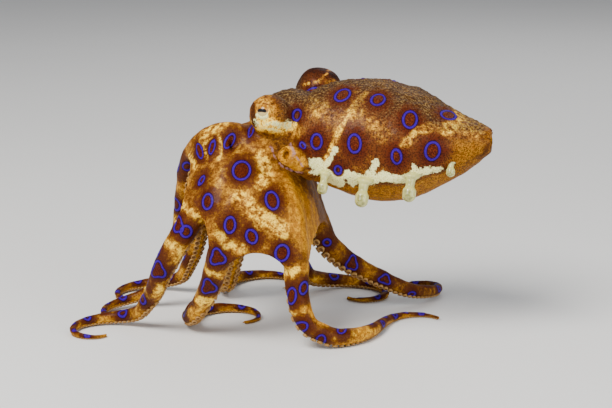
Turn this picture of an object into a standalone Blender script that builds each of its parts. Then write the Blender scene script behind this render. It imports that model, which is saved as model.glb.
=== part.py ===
"""Blue ringed octopus standing on its arms, a still, life-size display model.

The animal faces -X and its mantle points to +X, with its left side towards -Y and the floor at Z = 0.
Every length below is in millimetres, and finish() scales each finished mesh to metres.
The body is built from one set of rules: each arm is a tapered tube along a smooth route that ends in
a curl on the floor, the web is stretched between neighbouring arms, and the mantle is lofted.
"""

import math
import random

import bmesh
import bpy
from mathutils import Matrix, Vector

MM = 0.001
GAP = 0.3
MERGE = 1e-4
BIG = 200.0

# The routes are laid out round the photographed middle of the animal; this moves the model's
# box to the middle of the floor.
CENTRE_SHIFT = Vector((5.405, -11.54, 0.0))

# Colours are the photographed ones, without the markings.
SKIN_GOLD = (0.62, 0.40, 0.16, 1.0)
SKIN_CREAM = (0.80, 0.68, 0.45, 1.0)
SKIN_BROWN = (0.38, 0.17, 0.07, 1.0)
EYE_GOLD = (0.72, 0.46, 0.10, 1.0)

# Mantle: the collar's middle, the tip's middle, the sideways bow between them, and the roll that
# lowers the near side.
COLLAR = Vector((2.2, 0.4, 37.7))
MANTLE_TIP = Vector((34.2, -9.0, 38.4))
MANTLE_BOW = 1.6
MANTLE_ROLL = math.radians(10.0)
COLLAR_YAW = math.radians(-27.0)
TIP_YAW = math.radians(-9.0)
MANTLE_SIDES = 26
# Share of the length, half width, rise above the axis and drop below it.
MANTLE_SECTIONS = (
    (0.00, 9.4, 9.4, 7.9),
    (0.12, 10.8, 10.3, 9.2),
    (0.26, 12.0, 10.6, 11.0),
    (0.40, 12.4, 10.1, 11.9),
    (0.54, 11.5, 8.5, 11.1),
    (0.68, 9.1, 5.9, 8.9),
    (0.82, 6.1, 3.8, 6.1),
    (0.93, 3.6, 2.5, 3.2),
    (0.985, 2.2, 1.5, 1.4),
    (1.00, 1.5, 1.0, 0.9),
)
BELLY_FULLNESS = 0.86
RIDGE_ANGLE = math.radians(-24.0)
RIDGE_HEIGHT = 0.55
# Papillae on the lateral ridge: share of the length, length and bulb radius.
PAPILLAE = ((0.165, 4.0, 1.0), (0.375, 5.0, 1.25), (0.60, 4.6, 1.25), (0.79, 2.0, 0.8))

# Head, with a mound under each eye.
HEAD_CENTRE = Vector((-2.2, 1.8, 38.0))
HEAD_RADII = Vector((8.6, 8.2, 8.3))
HEAD_YAW = math.radians(-32.0)
NEAR_MOUND = (Vector((-6.6, -4.6, 42.4)), Vector((4.1, 3.8, 3.8)))
FAR_MOUND = (Vector((2.6, 9.0, 45.2)), Vector((4.6, 4.2, 4.4)))
EYE_RADIUS = 1.5
NEAR_EYE = (Vector((-7.6, -7.2, 43.6)), Vector((-0.35, -0.90, 0.25)))
FAR_EYE = (Vector((3.5, 11.8, 46.3)), Vector((0.35, 0.90, 0.20)))

# Cut planes: a point and the direction of the side that is kept in front.
HEAD_CUT = (Vector((-6.0, 0.0, 36.3)), Vector((-0.80, 0.05, -0.60)).normalized())
COLLAR_CUT = (COLLAR, Vector((math.cos(COLLAR_YAW), math.sin(COLLAR_YAW), 0.0)))

# Funnel: the route from under the collar to the opening, and its radii.
FUNNEL_ROUTE = (Vector((1.6, -7.0, 32.9)), Vector((-1.5, -10.0, 35.2)), Vector((-4.0, -12.3, 36.4)))
FUNNEL_BASE_RADIUS = 3.0
FUNNEL_RIM_RADIUS = 1.9
FUNNEL_BORE_RADIUS = 1.1
FUNNEL_BORE_DEPTH = 2.4

# Crown: where the eight arms meet, behind the mouth.
CROWN_CENTRE = Vector((-8.8, 0.8, 32.4))
CROWN_RADII = Vector((8.8, 8.6, 8.0))
WEB_THICKNESS = 1.1
# The web is built in quarters, each with two neighbouring arms' first lengths.
WEB_QUARTERS = {
    "left": ("left_2", "left_3"),
    "rear": ("left_4", "right_4"),
    "right": ("right_3", "right_2"),
    "front": ("right_1", "left_1"),
}
# The mouth, a pit in a low lip at the middle of the arms' inner sides.
MOUTH_DIRECTION = Vector((-0.42, 0.10, -0.90)).normalized()
LIP_RADIUS = 2.6
LIP_HEIGHT = 1.0
MOUTH_RADIUS = 1.3
MOUTH_DEPTH = 1.6
WEB_LIFT = 0.62
WEB_BILLOW = 0.7
WEB_START = 5.5
WEB_INSET = 0.4
# How far each half of a divided web stays from the middle; its curved sheet leans back over it.
WEB_PARTING = 0.3
WEB_ROWS = 6
WEB_COLUMNS = 4

ARM_LENGTH = 71.0
ARM_ROOT_RADIUS = 3.2
ARM_TIP_RADIUS = 0.30
STATION_STEP = 0.5
TUBE_STEP = 2.7
# A short first and last step keeps a length's end faces square to the arm.
END_STEP = 0.3
# The longest stretch over which an arm eases down onto the floor.
LONGEST_EASE = 8.0
# Each arm: the route in the air down to the landing, then the curl's first and last bend on the
# floor in degrees for each millimetre. The web reaches web_end along the arm.
ARMS = {
    "left_1": dict(
        air=((-9.0, -1.8, 36.2), (-14.0, -1.8, 37.8), (-18.0, 0.0, 36.7), (-21.0, 3.2, 33.6),
             (-22.7, 6.4, 28.6), (-23.7, 9.0, 22.4), (-25.0, 11.2, 15.6), (-27.2, 13.0, 9.4),
             (-30.6, 14.6, 4.6)),
        bend=(6.0, 24.0), web_end=16.0),
    "left_2": dict(
        air=((-8.8, -3.4, 33.6), (-13.7, -7.0, 32.5), (-18.1, -9.0, 27.3), (-21.7, -9.6, 22.6),
             (-24.9, -9.2, 17.6), (-27.3, -7.0, 12.6), (-29.0, -4.0, 8.2), (-31.4, -0.6, 4.2)),
        bend=(6.0, 20.0), web_end=18.0),
    "left_3": dict(
        air=((-8.6, -3.8, 32.2), (-11.9, -8.8, 29.6), (-14.0, -11.9, 24.6), (-15.5, -12.3, 19.0),
             (-17.0, -10.6, 13.8), (-18.6, -7.8, 9.2), (-20.8, -4.4, 4.8)),
        bend=(-4.0, -17.0), web_end=21.0),
    "left_4": dict(
        air=((-7.0, -2.6, 31.4), (-4.4, -7.4, 28.4), (-2.7, -10.4, 23.4), (-1.9, -11.9, 18.0),
             (-1.7, -12.6, 12.8), (-1.2, -13.2, 8.2), (0.5, -13.6, 4.6), (3.6, -13.2, 2.7)),
        bend=(5.5, -17.0), web_end=20.5),
    "right_4": dict(
        air=((-6.4, 2.4, 31.2), (-1.4, 4.6, 28.4), (1.2, 6.8, 21.8), (3.8, 8.6, 15.6),
             (7.4, 10.6, 11.4), (12.0, 12.6, 8.2), (17.6, 14.9, 5.0)),
        bend=(2.0, 25.0), web_end=15.5),
    "right_3": dict(
        air=((-7.2, 4.0, 31.0), (-5.6, 9.2, 28.0), (-4.2, 14.0, 22.6), (-3.4, 18.2, 16.2),
             (-2.4, 22.2, 9.6), (-0.2, 25.8, 4.8)),
        bend=(-4.5, -18.0), web_end=17.0),
    "right_2": dict(
        air=((-8.6, 4.6, 32.2), (-10.0, 9.8, 29.0), (-11.0, 13.0, 23.6), (-12.6, 15.0, 17.6),
             (-14.4, 17.4, 11.0), (-15.8, 20.6, 5.0)),
        bend=(-3.0, -16.0), web_end=18.0),
    "right_1": dict(
        air=((-8.8, 3.4, 34.6), (-13.2, 7.2, 34.4), (-17.0, 11.4, 31.0), (-19.6, 15.2, 25.0),
             (-21.2, 18.6, 18.0), (-22.6, 21.8, 11.0), (-25.0, 25.4, 5.0)),
        bend=(5.0, 20.0), web_end=17.0),
}
RING_OF_ARMS = ("left_1", "left_2", "left_3", "left_4", "right_4", "right_3", "right_2", "right_1")
# Where the free arm is divided into its three lengths, as shares of the arm.
LENGTH_SPLITS = (0.50, 0.74)
LENGTH_NAMES = ("upper", "middle", "tip")
# How far the web's edge is drawn up between each arm and the next.
WEB_SCALLOPS = (0.25, 0.28, 0.14, 0.22, 0.25, 0.25, 0.25, 0.25)

# Suckers, in two rows along the side that faces the mouth.
SUCKERS_PER_ROW = 10
CROWN_SUCKERS_PER_ROW = 3
CROWN_SUCKER_START = 10.6
SUCKER_ROW_ANGLE = math.radians(27.0)
SUCKER_SIDES = 5
# The suckers face down on the floor, and turn inwards along an arm's steep stretch: towards a point
# on the floor for each side of the body, by a share that comes in and goes out between two heights.
ORAL_TARGET_DEPTH = 110.0
INWARD_TARGETS = {"left": Vector((-11.0, 12.0, 0.0)), "right": Vector((-8.8, 0.8, 0.0))}
INWARD_SHARE = 0.6
INWARD_LOW = (4.0, 9.0)
INWARD_HIGH = (28.0, 20.0)


def clear_scene():
    """Removes what the file opened with."""
    for obj in list(bpy.data.objects):
        bpy.data.objects.remove(obj, do_unlink=True)


def catmull_rom(points, step):
    """Points about step apart along a smooth curve through the given points."""
    ends = [points[0] * 2 - points[1], *points, points[-1] * 2 - points[-2]]
    found = []
    for p0, p1, p2, p3 in zip(ends, ends[1:], ends[2:], ends[3:]):
        count = max(2, round((p2 - p1).length / step))
        for i in range(count):
            t = i / count
            found.append(0.5 * (
                2 * p1
                + (p2 - p0) * t
                + (2 * p0 - 5 * p1 + 4 * p2 - p3) * t ** 2
                + (3 * p1 - p0 - 3 * p2 + p3) * t ** 3
            ))
    found.append(points[-1].copy())
    return found


def smooth_values(rows, at):
    """Row values at a share, eased through the table's rows."""
    for low, high in zip(rows, rows[1:]):
        if at <= high[0]:
            break
    before = rows[max(0, rows.index(low) - 1)]
    after = rows[min(len(rows) - 1, rows.index(high) + 1)]
    span = high[0] - low[0]
    t = (at - low[0]) / span
    values = []
    for i in range(1, len(low)):
        slope_low = (high[i] - before[i]) / max(high[0] - before[0], 1e-6) * span
        slope_high = (after[i] - low[i]) / max(after[0] - low[0], 1e-6) * span
        values.append(
            (2 * t ** 3 - 3 * t ** 2 + 1) * low[i]
            + (t ** 3 - 2 * t ** 2 + t) * slope_low
            + (3 * t ** 2 - 2 * t ** 3) * high[i]
            + (t ** 3 - t ** 2) * slope_high
        )
    return values


def eased(ends, value):
    """Rises smoothly from 0 at the first end to 1 at the second."""
    t = min(max((value - ends[0]) / (ends[1] - ends[0]), 0.0), 1.0)
    return t * t * (3.0 - 2.0 * t)


def arm_radius(share):
    """The arm's radius at a share of its length."""
    return ARM_ROOT_RADIUS * (1.0 - share) + ARM_TIP_RADIUS * share


def sucker_radius(share):
    """A sucker's radius at a share of the arm."""
    return 0.26 * arm_radius(share) + 0.10


def sucker_height(share):
    """How far a sucker stands off the arm."""
    return 0.55 * sucker_radius(share)


def floor_height(share):
    """The height of the arm's middle where its suckers stand on the floor."""
    body = (arm_radius(share) + sucker_height(share)) * math.cos(SUCKER_ROW_ANGLE)
    return body + sucker_radius(share) * math.sin(SUCKER_ROW_ANGLE) - 0.07


class Arm:
    """One arm's route, sampled by distance from the mouth."""

    def __init__(self, air, bend, web_end, inward_target):
        self.web_end = web_end
        self.inward_target = inward_target
        points = catmull_rom([Vector(p) for p in air], STATION_STEP)
        walked = sum((b - a).length for a, b in zip(points, points[1:]))
        landing = points[-1]
        arriving = (points[-1] - points[-2]).normalized()
        angle = math.atan2(arriving.y, arriving.x)
        drop = landing.z - floor_height(walked / ARM_LENGTH)
        ease = min(drop / max(-arriving.z, 0.1), LONGEST_EASE)
        first_bend, last_bend = bend
        rest = ARM_LENGTH - walked
        count = round(rest / STATION_STEP)
        step = rest / count
        place = landing
        for number in range(1, count + 1):
            slide = step * number
            share = number / count
            angle += math.radians(first_bend + (last_bend - first_bend) * share ** 2) * step
            fall = math.exp(-slide / ease)
            height = floor_height((walked + slide) / ARM_LENGTH) + drop * fall
            sideways = math.sqrt(max(0.0, step ** 2 - (height - place.z) ** 2))
            place = Vector((
                place.x + sideways * math.cos(angle),
                place.y + sideways * math.sin(angle),
                height,
            ))
            points.append(place)
        self.points = points
        self.walk = [0.0]
        for a, b in zip(points, points[1:]):
            self.walk.append(self.walk[-1] + (b - a).length)
        self.length = self.walk[-1]

    def at(self, distance):
        """The point on the route at this distance from the mouth."""
        distance = min(max(distance, 0.0), self.length)
        low, high = 0, len(self.walk) - 1
        while high - low > 1:
            middle = (low + high) // 2
            if self.walk[middle] <= distance:
                low = middle
            else:
                high = middle
        t = (distance - self.walk[low]) / (self.walk[high] - self.walk[low])
        return self.points[low].lerp(self.points[high], t)

    def tangent(self, distance):
        """The route's direction, away from the mouth."""
        return (self.at(distance + 0.8) - self.at(distance - 0.8)).normalized()

    def oral(self, distance):
        """The direction that the suckers face."""
        place = self.at(distance)
        along = self.tangent(distance)
        target = Vector((CROWN_CENTRE.x, CROWN_CENTRE.y, -ORAL_TARGET_DEPTH))
        inward = self.inward_target - place
        inward.z = 0.0
        share = INWARD_SHARE * eased(INWARD_LOW, place.z) * eased(INWARD_HIGH, place.z)
        towards = (target - place).normalized().lerp(inward.normalized(), share)
        return (towards - along * towards.dot(along)).normalized()

    def radius(self, distance):
        """The arm's radius at this distance."""
        return arm_radius(min(distance / self.length, 1.0))


def mesh_object(name, bm, collection):
    """A new object that holds bm's mesh."""
    bmesh.ops.recalc_face_normals(bm, faces=bm.faces)
    mesh = bpy.data.meshes.new(name)
    bm.to_mesh(mesh)
    bm.free()
    obj = bpy.data.objects.new(name, mesh)
    collection.objects.link(obj)
    return obj


def new_collection(name):
    """A new collection in the scene."""
    made = bpy.data.collections.new(name)
    bpy.context.scene.collection.children.link(made)
    return made


def ellipsoid(name, centre, radii, yaw, collection, sides=20, rings=12):
    """A closed ellipsoid, turned about Z."""
    bm = bmesh.new()
    place = Matrix.Translation(centre) @ Matrix.Rotation(yaw, 4, "Z") @ Matrix.Diagonal((*radii, 1.0))
    bmesh.ops.create_uvsphere(bm, u_segments=sides, v_segments=rings, radius=1.0, matrix=place)
    return mesh_object(name, bm, collection)


def lofted(name, loops, collection):
    """A closed solid through loops of points, each end filled."""
    bm = bmesh.new()
    rows = []
    for loop in loops:
        verts = [bm.verts.new(p) for p in loop]
        rows.append([bm.edges.new((a, b)) for a, b in zip(verts, verts[1:] + verts[:1])])
    for low, high in zip(rows, rows[1:]):
        bmesh.ops.bridge_loops(bm, edges=low + high)
    for end in (rows[0], rows[-1]):
        bmesh.ops.contextual_create(bm, geom=end)
    return mesh_object(name, bm, collection)


def tube(name, points, radii, collection, resolution=3):
    """A closed tapered tube along the points, as a mesh."""
    curve = bpy.data.curves.new(name, "CURVE")
    curve.dimensions = "3D"
    curve.bevel_depth = 1.0
    curve.bevel_resolution = resolution
    curve.use_fill_caps = True
    spline = curve.splines.new("POLY")
    spline.points.add(len(points) - 1)
    for target, point, radius in zip(spline.points, points, radii):
        target.co = (*point, 1.0)
        target.radius = radius
    guide = bpy.data.objects.new(name + "_guide", curve)
    collection.objects.link(guide)
    bpy.context.view_layer.update()
    graph = bpy.context.evaluated_depsgraph_get()
    mesh = bpy.data.meshes.new_from_object(guide.evaluated_get(graph))
    bpy.data.objects.remove(guide, do_unlink=True)
    bm = bmesh.new()
    bm.from_mesh(mesh)
    bpy.data.meshes.remove(mesh)
    bmesh.ops.remove_doubles(bm, verts=bm.verts, dist=MERGE)
    return mesh_object(name, bm, collection)


def arm_tube(name, arm, start, end, collection, resolution=3, extra=0.0):
    """The arm's own tube between two distances from the mouth, wider all round by extra."""
    count = max(2, math.ceil((end - start) / TUBE_STEP))
    inner = [start + (end - start) * i / count for i in range(1, count)]
    distances = [start, start + END_STEP, *inner, end - END_STEP, end]
    points = [arm.at(d) for d in distances]
    radii = [arm.radius(d) + extra for d in distances]
    return tube(name, points, radii, collection, resolution)


def apply_boolean(obj, operation, operand, solver="EXACT"):
    """Applies one Boolean of obj with an object or a collection, whose objects are then removed."""
    modifier = obj.modifiers.new("join", "BOOLEAN")
    modifier.operation = operation
    modifier.solver = solver
    if isinstance(operand, bpy.types.Collection):
        modifier.operand_type = "COLLECTION"
        modifier.collection = operand
    else:
        modifier.object = operand
    bpy.context.view_layer.update()
    graph = bpy.context.evaluated_depsgraph_get()
    mesh = bpy.data.meshes.new_from_object(obj.evaluated_get(graph))
    obj.modifiers.clear()
    old = obj.data
    obj.data = mesh
    bpy.data.meshes.remove(old)
    if isinstance(operand, bpy.types.Collection):
        for helper in list(operand.objects):
            bpy.data.objects.remove(helper, do_unlink=True)
        bpy.data.collections.remove(operand)
    else:
        bpy.data.objects.remove(operand, do_unlink=True)


def closed_surfaces(bm):
    """The mesh's separate closed surfaces, as sets of faces."""
    left = set(bm.faces)
    shells = []
    while left:
        todo = [left.pop()]
        shell = set(todo)
        while todo:
            for edge in todo.pop().edges:
                for face in edge.link_faces:
                    if face in left:
                        left.discard(face)
                        shell.add(face)
                        todo.append(face)
        shells.append(shell)
    return shells


def keep_largest(obj):
    """Keeps the node's largest closed surface and drops loose scraps and sealed hollows."""
    bm = bmesh.new()
    bm.from_mesh(obj.data)
    bmesh.ops.remove_doubles(bm, verts=bm.verts, dist=MERGE)
    bmesh.ops.triangulate(bm, faces=bm.faces)
    shells = closed_surfaces(bm)
    shells.sort(key=lambda s: sum(f.calc_area() for f in s))
    for shell in shells[:-1]:
        bmesh.ops.delete(bm, geom=list(shell), context="FACES")
    bm.to_mesh(obj.data)
    bm.free()


def half_space(name, plane, gap, collection):
    """A big box that covers everything in front of the plane, from gap before it."""
    point, normal = plane
    turn = normal.to_track_quat("Z", "Y").to_matrix().to_4x4()
    bm = bmesh.new()
    bmesh.ops.create_cube(bm, size=BIG, matrix=Matrix.Translation(point) @ turn
                          @ Matrix.Translation((0, 0, BIG / 2 - gap)))
    return mesh_object(name, bm, collection)


def flipped(plane):
    """The same plane, facing the other way."""
    return plane[0], -plane[1]


def mantle_frame(share):
    """The axis point and the sideways and up directions of the mantle's section at a share."""
    along = MANTLE_TIP - COLLAR
    side = Vector((along.y, -along.x, 0.0)).normalized()
    place = COLLAR + along * share - side * MANTLE_BOW * math.sin(math.pi * share)
    yaw = COLLAR_YAW + (TIP_YAW - COLLAR_YAW) * share
    roll = MANTLE_ROLL
    flat_near = Vector((math.sin(yaw), -math.cos(yaw), 0.0))
    near = flat_near * math.cos(roll) - Vector((0, 0, math.sin(roll)))
    up = flat_near * math.sin(roll) + Vector((0, 0, math.cos(roll)))
    return place, near, up


def mantle_point(share, angle):
    """A point of the mantle's surface: angle 0 is the near side, and a right angle is the back."""
    place, near, up = mantle_frame(share)
    width, rise, drop = smooth_values(MANTLE_SECTIONS, share)
    across, above = math.cos(angle), math.sin(angle)
    if above < 0:
        across = math.copysign(abs(across) ** BELLY_FULLNESS, across)
    for middle in (RIDGE_ANGLE, math.pi - RIDGE_ANGLE):
        away = (angle - middle + math.pi) % math.tau - math.pi
        swell = RIDGE_HEIGHT * math.exp(-((away / 0.14) ** 2)) * math.sin(math.pi * min(1.0, share * 1.1))
        across += math.copysign(swell / width, across)
    return place + near * (width * across) + up * ((rise if above > 0 else drop) * above)


def build_mantle(parts):
    """The mantle from the collar to its blunt tip, with the papillae of its lateral ridges."""
    shares = [0.0, 0.08, 0.17, 0.26, 0.35, 0.44, 0.53, 0.62, 0.71, 0.80, 0.88, 0.94, 0.985, 1.0]
    first = RIDGE_ANGLE
    turns = [first + math.tau * i / MANTLE_SIDES for i in range(MANTLE_SIDES)]
    mantle = lofted("mantle", [[mantle_point(s, a) for a in turns] for s in shares], parts)
    knobs = new_collection("papillae")
    for side_angle, outward in ((RIDGE_ANGLE, 1.0), (math.pi - RIDGE_ANGLE, -1.0)):
        for number, (share, length, bulb) in enumerate(PAPILLAE):
            place, near, up = mantle_frame(share)
            root = mantle_point(share, side_angle)
            hang = (near * outward * 0.45 - Vector((0, 0, 0.9))).normalized()
            middle = (near * outward * 0.8 - Vector((0, 0, 0.6))).normalized()
            inside = root - near * outward * 1.2
            route = [inside, root + middle * length * 0.25, root + middle * length * 0.25
                     + hang * length * 0.35, root + middle * length * 0.25 + hang * length * 0.65,
                     root + middle * length * 0.25 + hang * length * 0.8]
            radii = [bulb * 0.9, bulb * 0.8, bulb * 0.95, bulb, bulb * 0.45]
            tube(f"papilla_{number}_{outward:.0f}", route, radii, knobs, 1)
    apply_boolean(mantle, "UNION", knobs)
    keep_largest(mantle)
    return mantle


def funnel_tube(name, extra, collection):
    """The funnel's outer form, wider all round by extra."""
    points = catmull_rom(list(FUNNEL_ROUTE), 1.1)
    last = len(points) - 1
    radii = [
        extra + FUNNEL_BASE_RADIUS + (FUNNEL_RIM_RADIUS - FUNNEL_BASE_RADIUS) * (i / last) ** 0.8
        for i in range(last + 1)
    ]
    return tube(name, points, radii, collection, 4)


def build_funnel(parts):
    """The funnel, open at its free end."""
    funnel = funnel_tube("funnel", 0.0, parts)
    points = catmull_rom(list(FUNNEL_ROUTE), 1.1)
    mouth, along = points[-1], (points[-1] - points[-2]).normalized()
    holes = new_collection("funnel_bore")
    tube("bore", [mouth - along * FUNNEL_BORE_DEPTH, mouth + along], [FUNNEL_BORE_RADIUS] * 2, holes, 3)
    apply_boolean(funnel, "DIFFERENCE", holes)
    apply_boolean(funnel, "DIFFERENCE", half_space("collar_side", COLLAR_CUT, GAP, parts))
    keep_largest(funnel)
    return funnel


def build_head(parts):
    """The head between the collar and the crown, with sockets for the eyes."""
    head = ellipsoid("head", HEAD_CENTRE, HEAD_RADII, HEAD_YAW, parts, 24, 14)
    mounds = new_collection("eye_mounds")
    for number, (centre, radii) in enumerate((NEAR_MOUND, FAR_MOUND)):
        ellipsoid(f"mound_{number}", centre, radii, HEAD_YAW, mounds, 16, 10)
    apply_boolean(head, "UNION", mounds)
    apply_boolean(head, "DIFFERENCE", half_space("collar_side", COLLAR_CUT, GAP, parts))
    apply_boolean(head, "DIFFERENCE", half_space("crown_side", HEAD_CUT, 0.0, parts))
    sockets = new_collection("sockets")
    for number, (centre, _) in enumerate((NEAR_EYE, FAR_EYE)):
        ellipsoid(f"socket_{number}", centre, Vector((1, 1, 1)) * (EYE_RADIUS + GAP), 0.0, sockets, 14, 8)
    funnel_tube("funnel_bed", GAP, sockets)
    apply_boolean(head, "DIFFERENCE", sockets)
    keep_largest(head)
    return head


def build_eye(name, eye, parts):
    """One eyeball, with its pole on the line of sight."""
    centre, sight = eye
    bm = bmesh.new()
    turn = sight.to_track_quat("Z", "Y").to_matrix().to_4x4()
    bmesh.ops.create_uvsphere(bm, u_segments=14, v_segments=9, radius=EYE_RADIUS,
                              matrix=Matrix.Translation(centre) @ turn)
    return mesh_object(name, bm, parts)


def thicken(sheet, thickness):
    """Gives a sheet an even thickness, half on each side."""
    solidify = sheet.modifiers.new("thickness", "SOLIDIFY")
    solidify.thickness = thickness
    solidify.offset = 0.0
    bpy.context.view_layer.update()
    graph = bpy.context.evaluated_depsgraph_get()
    mesh = bpy.data.meshes.new_from_object(sheet.evaluated_get(graph))
    sheet.modifiers.clear()
    sheet.data = mesh
    bm = bmesh.new()
    bm.from_mesh(mesh)
    bmesh.ops.triangulate(bm, faces=bm.faces)
    bmesh.ops.recalc_face_normals(bm, faces=bm.faces)
    bm.to_mesh(mesh)
    bm.free()


def between(one, other, across, down):
    """A point between two arms, the direction away from the mouth's side, and the arms' radius."""
    ends = []
    for arm in (one, other):
        distance = WEB_START + (arm.web_end - WEB_INSET - WEB_START) * down
        ends.append((arm.at(distance), -arm.oral(distance), arm.radius(distance)))
    (place, outward, radius), (next_place, next_outward, next_radius) = ends
    return (place.lerp(next_place, across), outward.lerp(next_outward, across).normalized(),
            (radius + next_radius) / 2)


def web_panel(name, one, other, scallop, limits, collection):
    """The web between two arms, or one half of it, a sheet whose free edge is drawn up."""
    bm = bmesh.new()
    columns = round(WEB_COLUMNS * (limits[1] - limits[0]))
    bmesh.ops.create_grid(bm, x_segments=columns, y_segments=WEB_ROWS, size=0.5)
    for vert in bm.verts:
        across, down = vert.co.x + 0.5, vert.co.y + 0.5
        across = limits[0] + (limits[1] - limits[0]) * across
        reach = 1.0 - scallop * math.sin(math.pi * across) ** 0.8
        if across == 0.5 and limits != (0.0, 1.0):
            ends = [between(one, other, side, down * reach)[0] for side in (0.0, 1.0)]
            inset = WEB_PARTING / (ends[1] - ends[0]).length
            across += inset if limits[0] == 0.5 else -inset
        middle, outward, radius = between(one, other, across, down * reach)
        vert.co = middle + outward * (WEB_LIFT * radius + WEB_BILLOW * math.sin(math.pi * across))
    thicken(mesh_object(name, bm, collection), WEB_THICKNESS)


def build_crown(parts):
    """The crown behind the mouth, with the mouth in a low lip on its underside."""
    crown = ellipsoid("crown", CROWN_CENTRE, CROWN_RADII, 0.0, parts, 20, 12)
    lip_centre = CROWN_CENTRE + Vector(
        (MOUTH_DIRECTION.x * CROWN_RADII.x, MOUTH_DIRECTION.y * CROWN_RADII.y,
         MOUTH_DIRECTION.z * CROWN_RADII.z))
    lip_radii = Vector((LIP_RADIUS, LIP_RADIUS, LIP_HEIGHT + 0.6))
    apply_boolean(crown, "UNION", ellipsoid("lip", lip_centre, lip_radii, 0.0, parts, 14, 8))
    cuts = new_collection("crown_cuts")
    mouth = [lip_centre - MOUTH_DIRECTION * MOUTH_DEPTH, lip_centre + MOUTH_DIRECTION * 4.0]
    tube("mouth", mouth, [MOUTH_RADIUS * 0.7, MOUTH_RADIUS], cuts, 2)
    funnel_tube("funnel_bed", GAP, cuts)
    half_space("head_side", flipped(HEAD_CUT), GAP, cuts)
    apply_boolean(crown, "DIFFERENCE", cuts)
    keep_largest(crown)
    return crown


def build_web_quarter(quarter, arms, finished, parts):
    """The first lengths of two neighbouring arms, the web between them and half of it outside them.

    The finished quarters are cut out of this one, where their webs' roots reach into it.
    """
    first, last = WEB_QUARTERS[quarter]
    start = RING_OF_ARMS.index(first)
    before = RING_OF_ARMS[start - 1]
    after = RING_OF_ARMS[(start + 2) % len(RING_OF_ARMS)]
    node = arm_tube(f"web_{quarter}", arms[first], 0.0, arms[first].web_end, parts, 2)
    pieces = new_collection("web_pieces")
    arm_tube("other_arm", arms[last], 0.0, arms[last].web_end, pieces, 2)
    scallops = [WEB_SCALLOPS[(start + offset) % len(RING_OF_ARMS)] for offset in (-1, 0, 1)]
    web_panel("outer_half", arms[before], arms[first], scallops[0], (0.5, 1.0), pieces)
    web_panel("middle", arms[first], arms[last], scallops[1], (0.0, 1.0), pieces)
    web_panel("inner_half", arms[last], arms[after], scallops[2], (0.0, 0.5), pieces)
    add_crown_suckers({first: arms[first], last: arms[last]}, pieces)
    apply_boolean(node, "UNION", pieces)
    cuts = new_collection("web_cuts")
    for arm in (arms[before], arms[after]):
        arm_tube("next_arm", arm, WEB_START, arm.web_end, cuts, 2, GAP)
    ellipsoid("crown_room", CROWN_CENTRE, CROWN_RADII + Vector((GAP, GAP, GAP)), 0.0, cuts, 20, 12)
    funnel_tube("funnel_bed", GAP, cuts)
    half_space("head_side", flipped(HEAD_CUT), GAP, cuts)
    for number, other in enumerate(finished):
        cuts.objects.link(bpy.data.objects.new(f"finished_{number}", other.data.copy()))
    apply_boolean(node, "DIFFERENCE", cuts)
    keep_largest(node)
    return node


def add_sucker(name, arm, distance, side, vary, collection):
    """One cup in the row on this side of the arm, sunk into it."""
    share = distance / arm.length
    radius, height = sucker_radius(share), sucker_height(share)
    along, oral = arm.tangent(distance), arm.oral(distance)
    out = Matrix.Rotation(side * SUCKER_ROW_ANGLE * vary.uniform(0.92, 1.08), 3, along) @ oral
    sunk = 0.45 * arm.radius(distance)
    middle = arm.at(distance) + out * (arm.radius(distance) + (height - sunk) / 2)
    turn = out.to_track_quat("Z", "Y").to_matrix().to_4x4()
    turn = turn @ Matrix.Rotation(vary.uniform(0.0, math.tau), 4, "Z")
    bm = bmesh.new()
    bmesh.ops.create_cone(bm, cap_ends=True, segments=SUCKER_SIDES, radius1=radius * 0.8,
                          radius2=radius, depth=height + sunk,
                          matrix=Matrix.Translation(middle) @ turn)
    mesh_object(name, bm, collection)


def add_suckers(arm, start, end, collection):
    """The free arm's two staggered rows, between two distances."""
    first, last = arm.web_end, arm.length - 1.2
    total = 2 * SUCKERS_PER_ROW
    vary = random.Random(f"{collection.name} {start:.2f}")
    for number in range(total):
        share = (number + 0.5) / total
        distance = first + (last - first) * (1.0 - (1.0 - share) ** 1.35)
        radius = sucker_radius(distance / arm.length)
        if start + radius < distance < end - radius:
            add_sucker(f"sucker_{number}", arm, distance, 1.0 if number % 2 else -1.0, vary, collection)


def add_crown_suckers(arms, collection):
    """The rows' first cups, from beside the mouth to the web's edge."""
    vary = random.Random("crown")
    total = 2 * CROWN_SUCKERS_PER_ROW
    for name, arm in arms.items():
        span = arm.web_end - CROWN_SUCKER_START
        for number in range(total):
            distance = CROWN_SUCKER_START + span * (number + 0.35) / total
            side = 1.0 if number % 2 else -1.0
            add_sucker(f"cup_{name}_{number}", arm, distance, side, vary, collection)


def build_arm_lengths(name, arm, parts):
    """The free arm as three nodes that meet face to face, with their suckers."""
    splits = [arm.web_end, *(share * arm.length for share in LENGTH_SPLITS), arm.length]
    nodes = []
    for part_name, start, end in zip(LENGTH_NAMES, splits, splits[1:]):
        start += GAP
        resolution = 2 if part_name == "tip" else 3
        node = arm_tube(f"arm_{name}_{part_name}", arm, start, end, parts, resolution)
        cups = new_collection("cups")
        add_suckers(arm, start, end, cups)
        if len(cups.objects):
            apply_boolean(node, "UNION", cups)
        apply_boolean(node, "DIFFERENCE", half_space("floor", (Vector(), Vector((0, 0, -1))), 0.0, parts))
        keep_largest(node)
        nodes.append(node)
    return nodes


def material(name, colour, roughness, coat=0.0):
    """A plain finish."""
    made = bpy.data.materials.new(name)
    made.use_nodes = True
    shader = made.node_tree.nodes["Principled BSDF"]
    shader.inputs["Base Color"].default_value = colour
    shader.inputs["Roughness"].default_value = roughness
    shader.inputs["Metallic"].default_value = 0.0
    shader.inputs["Coat Weight"].default_value = coat
    return made


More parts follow.
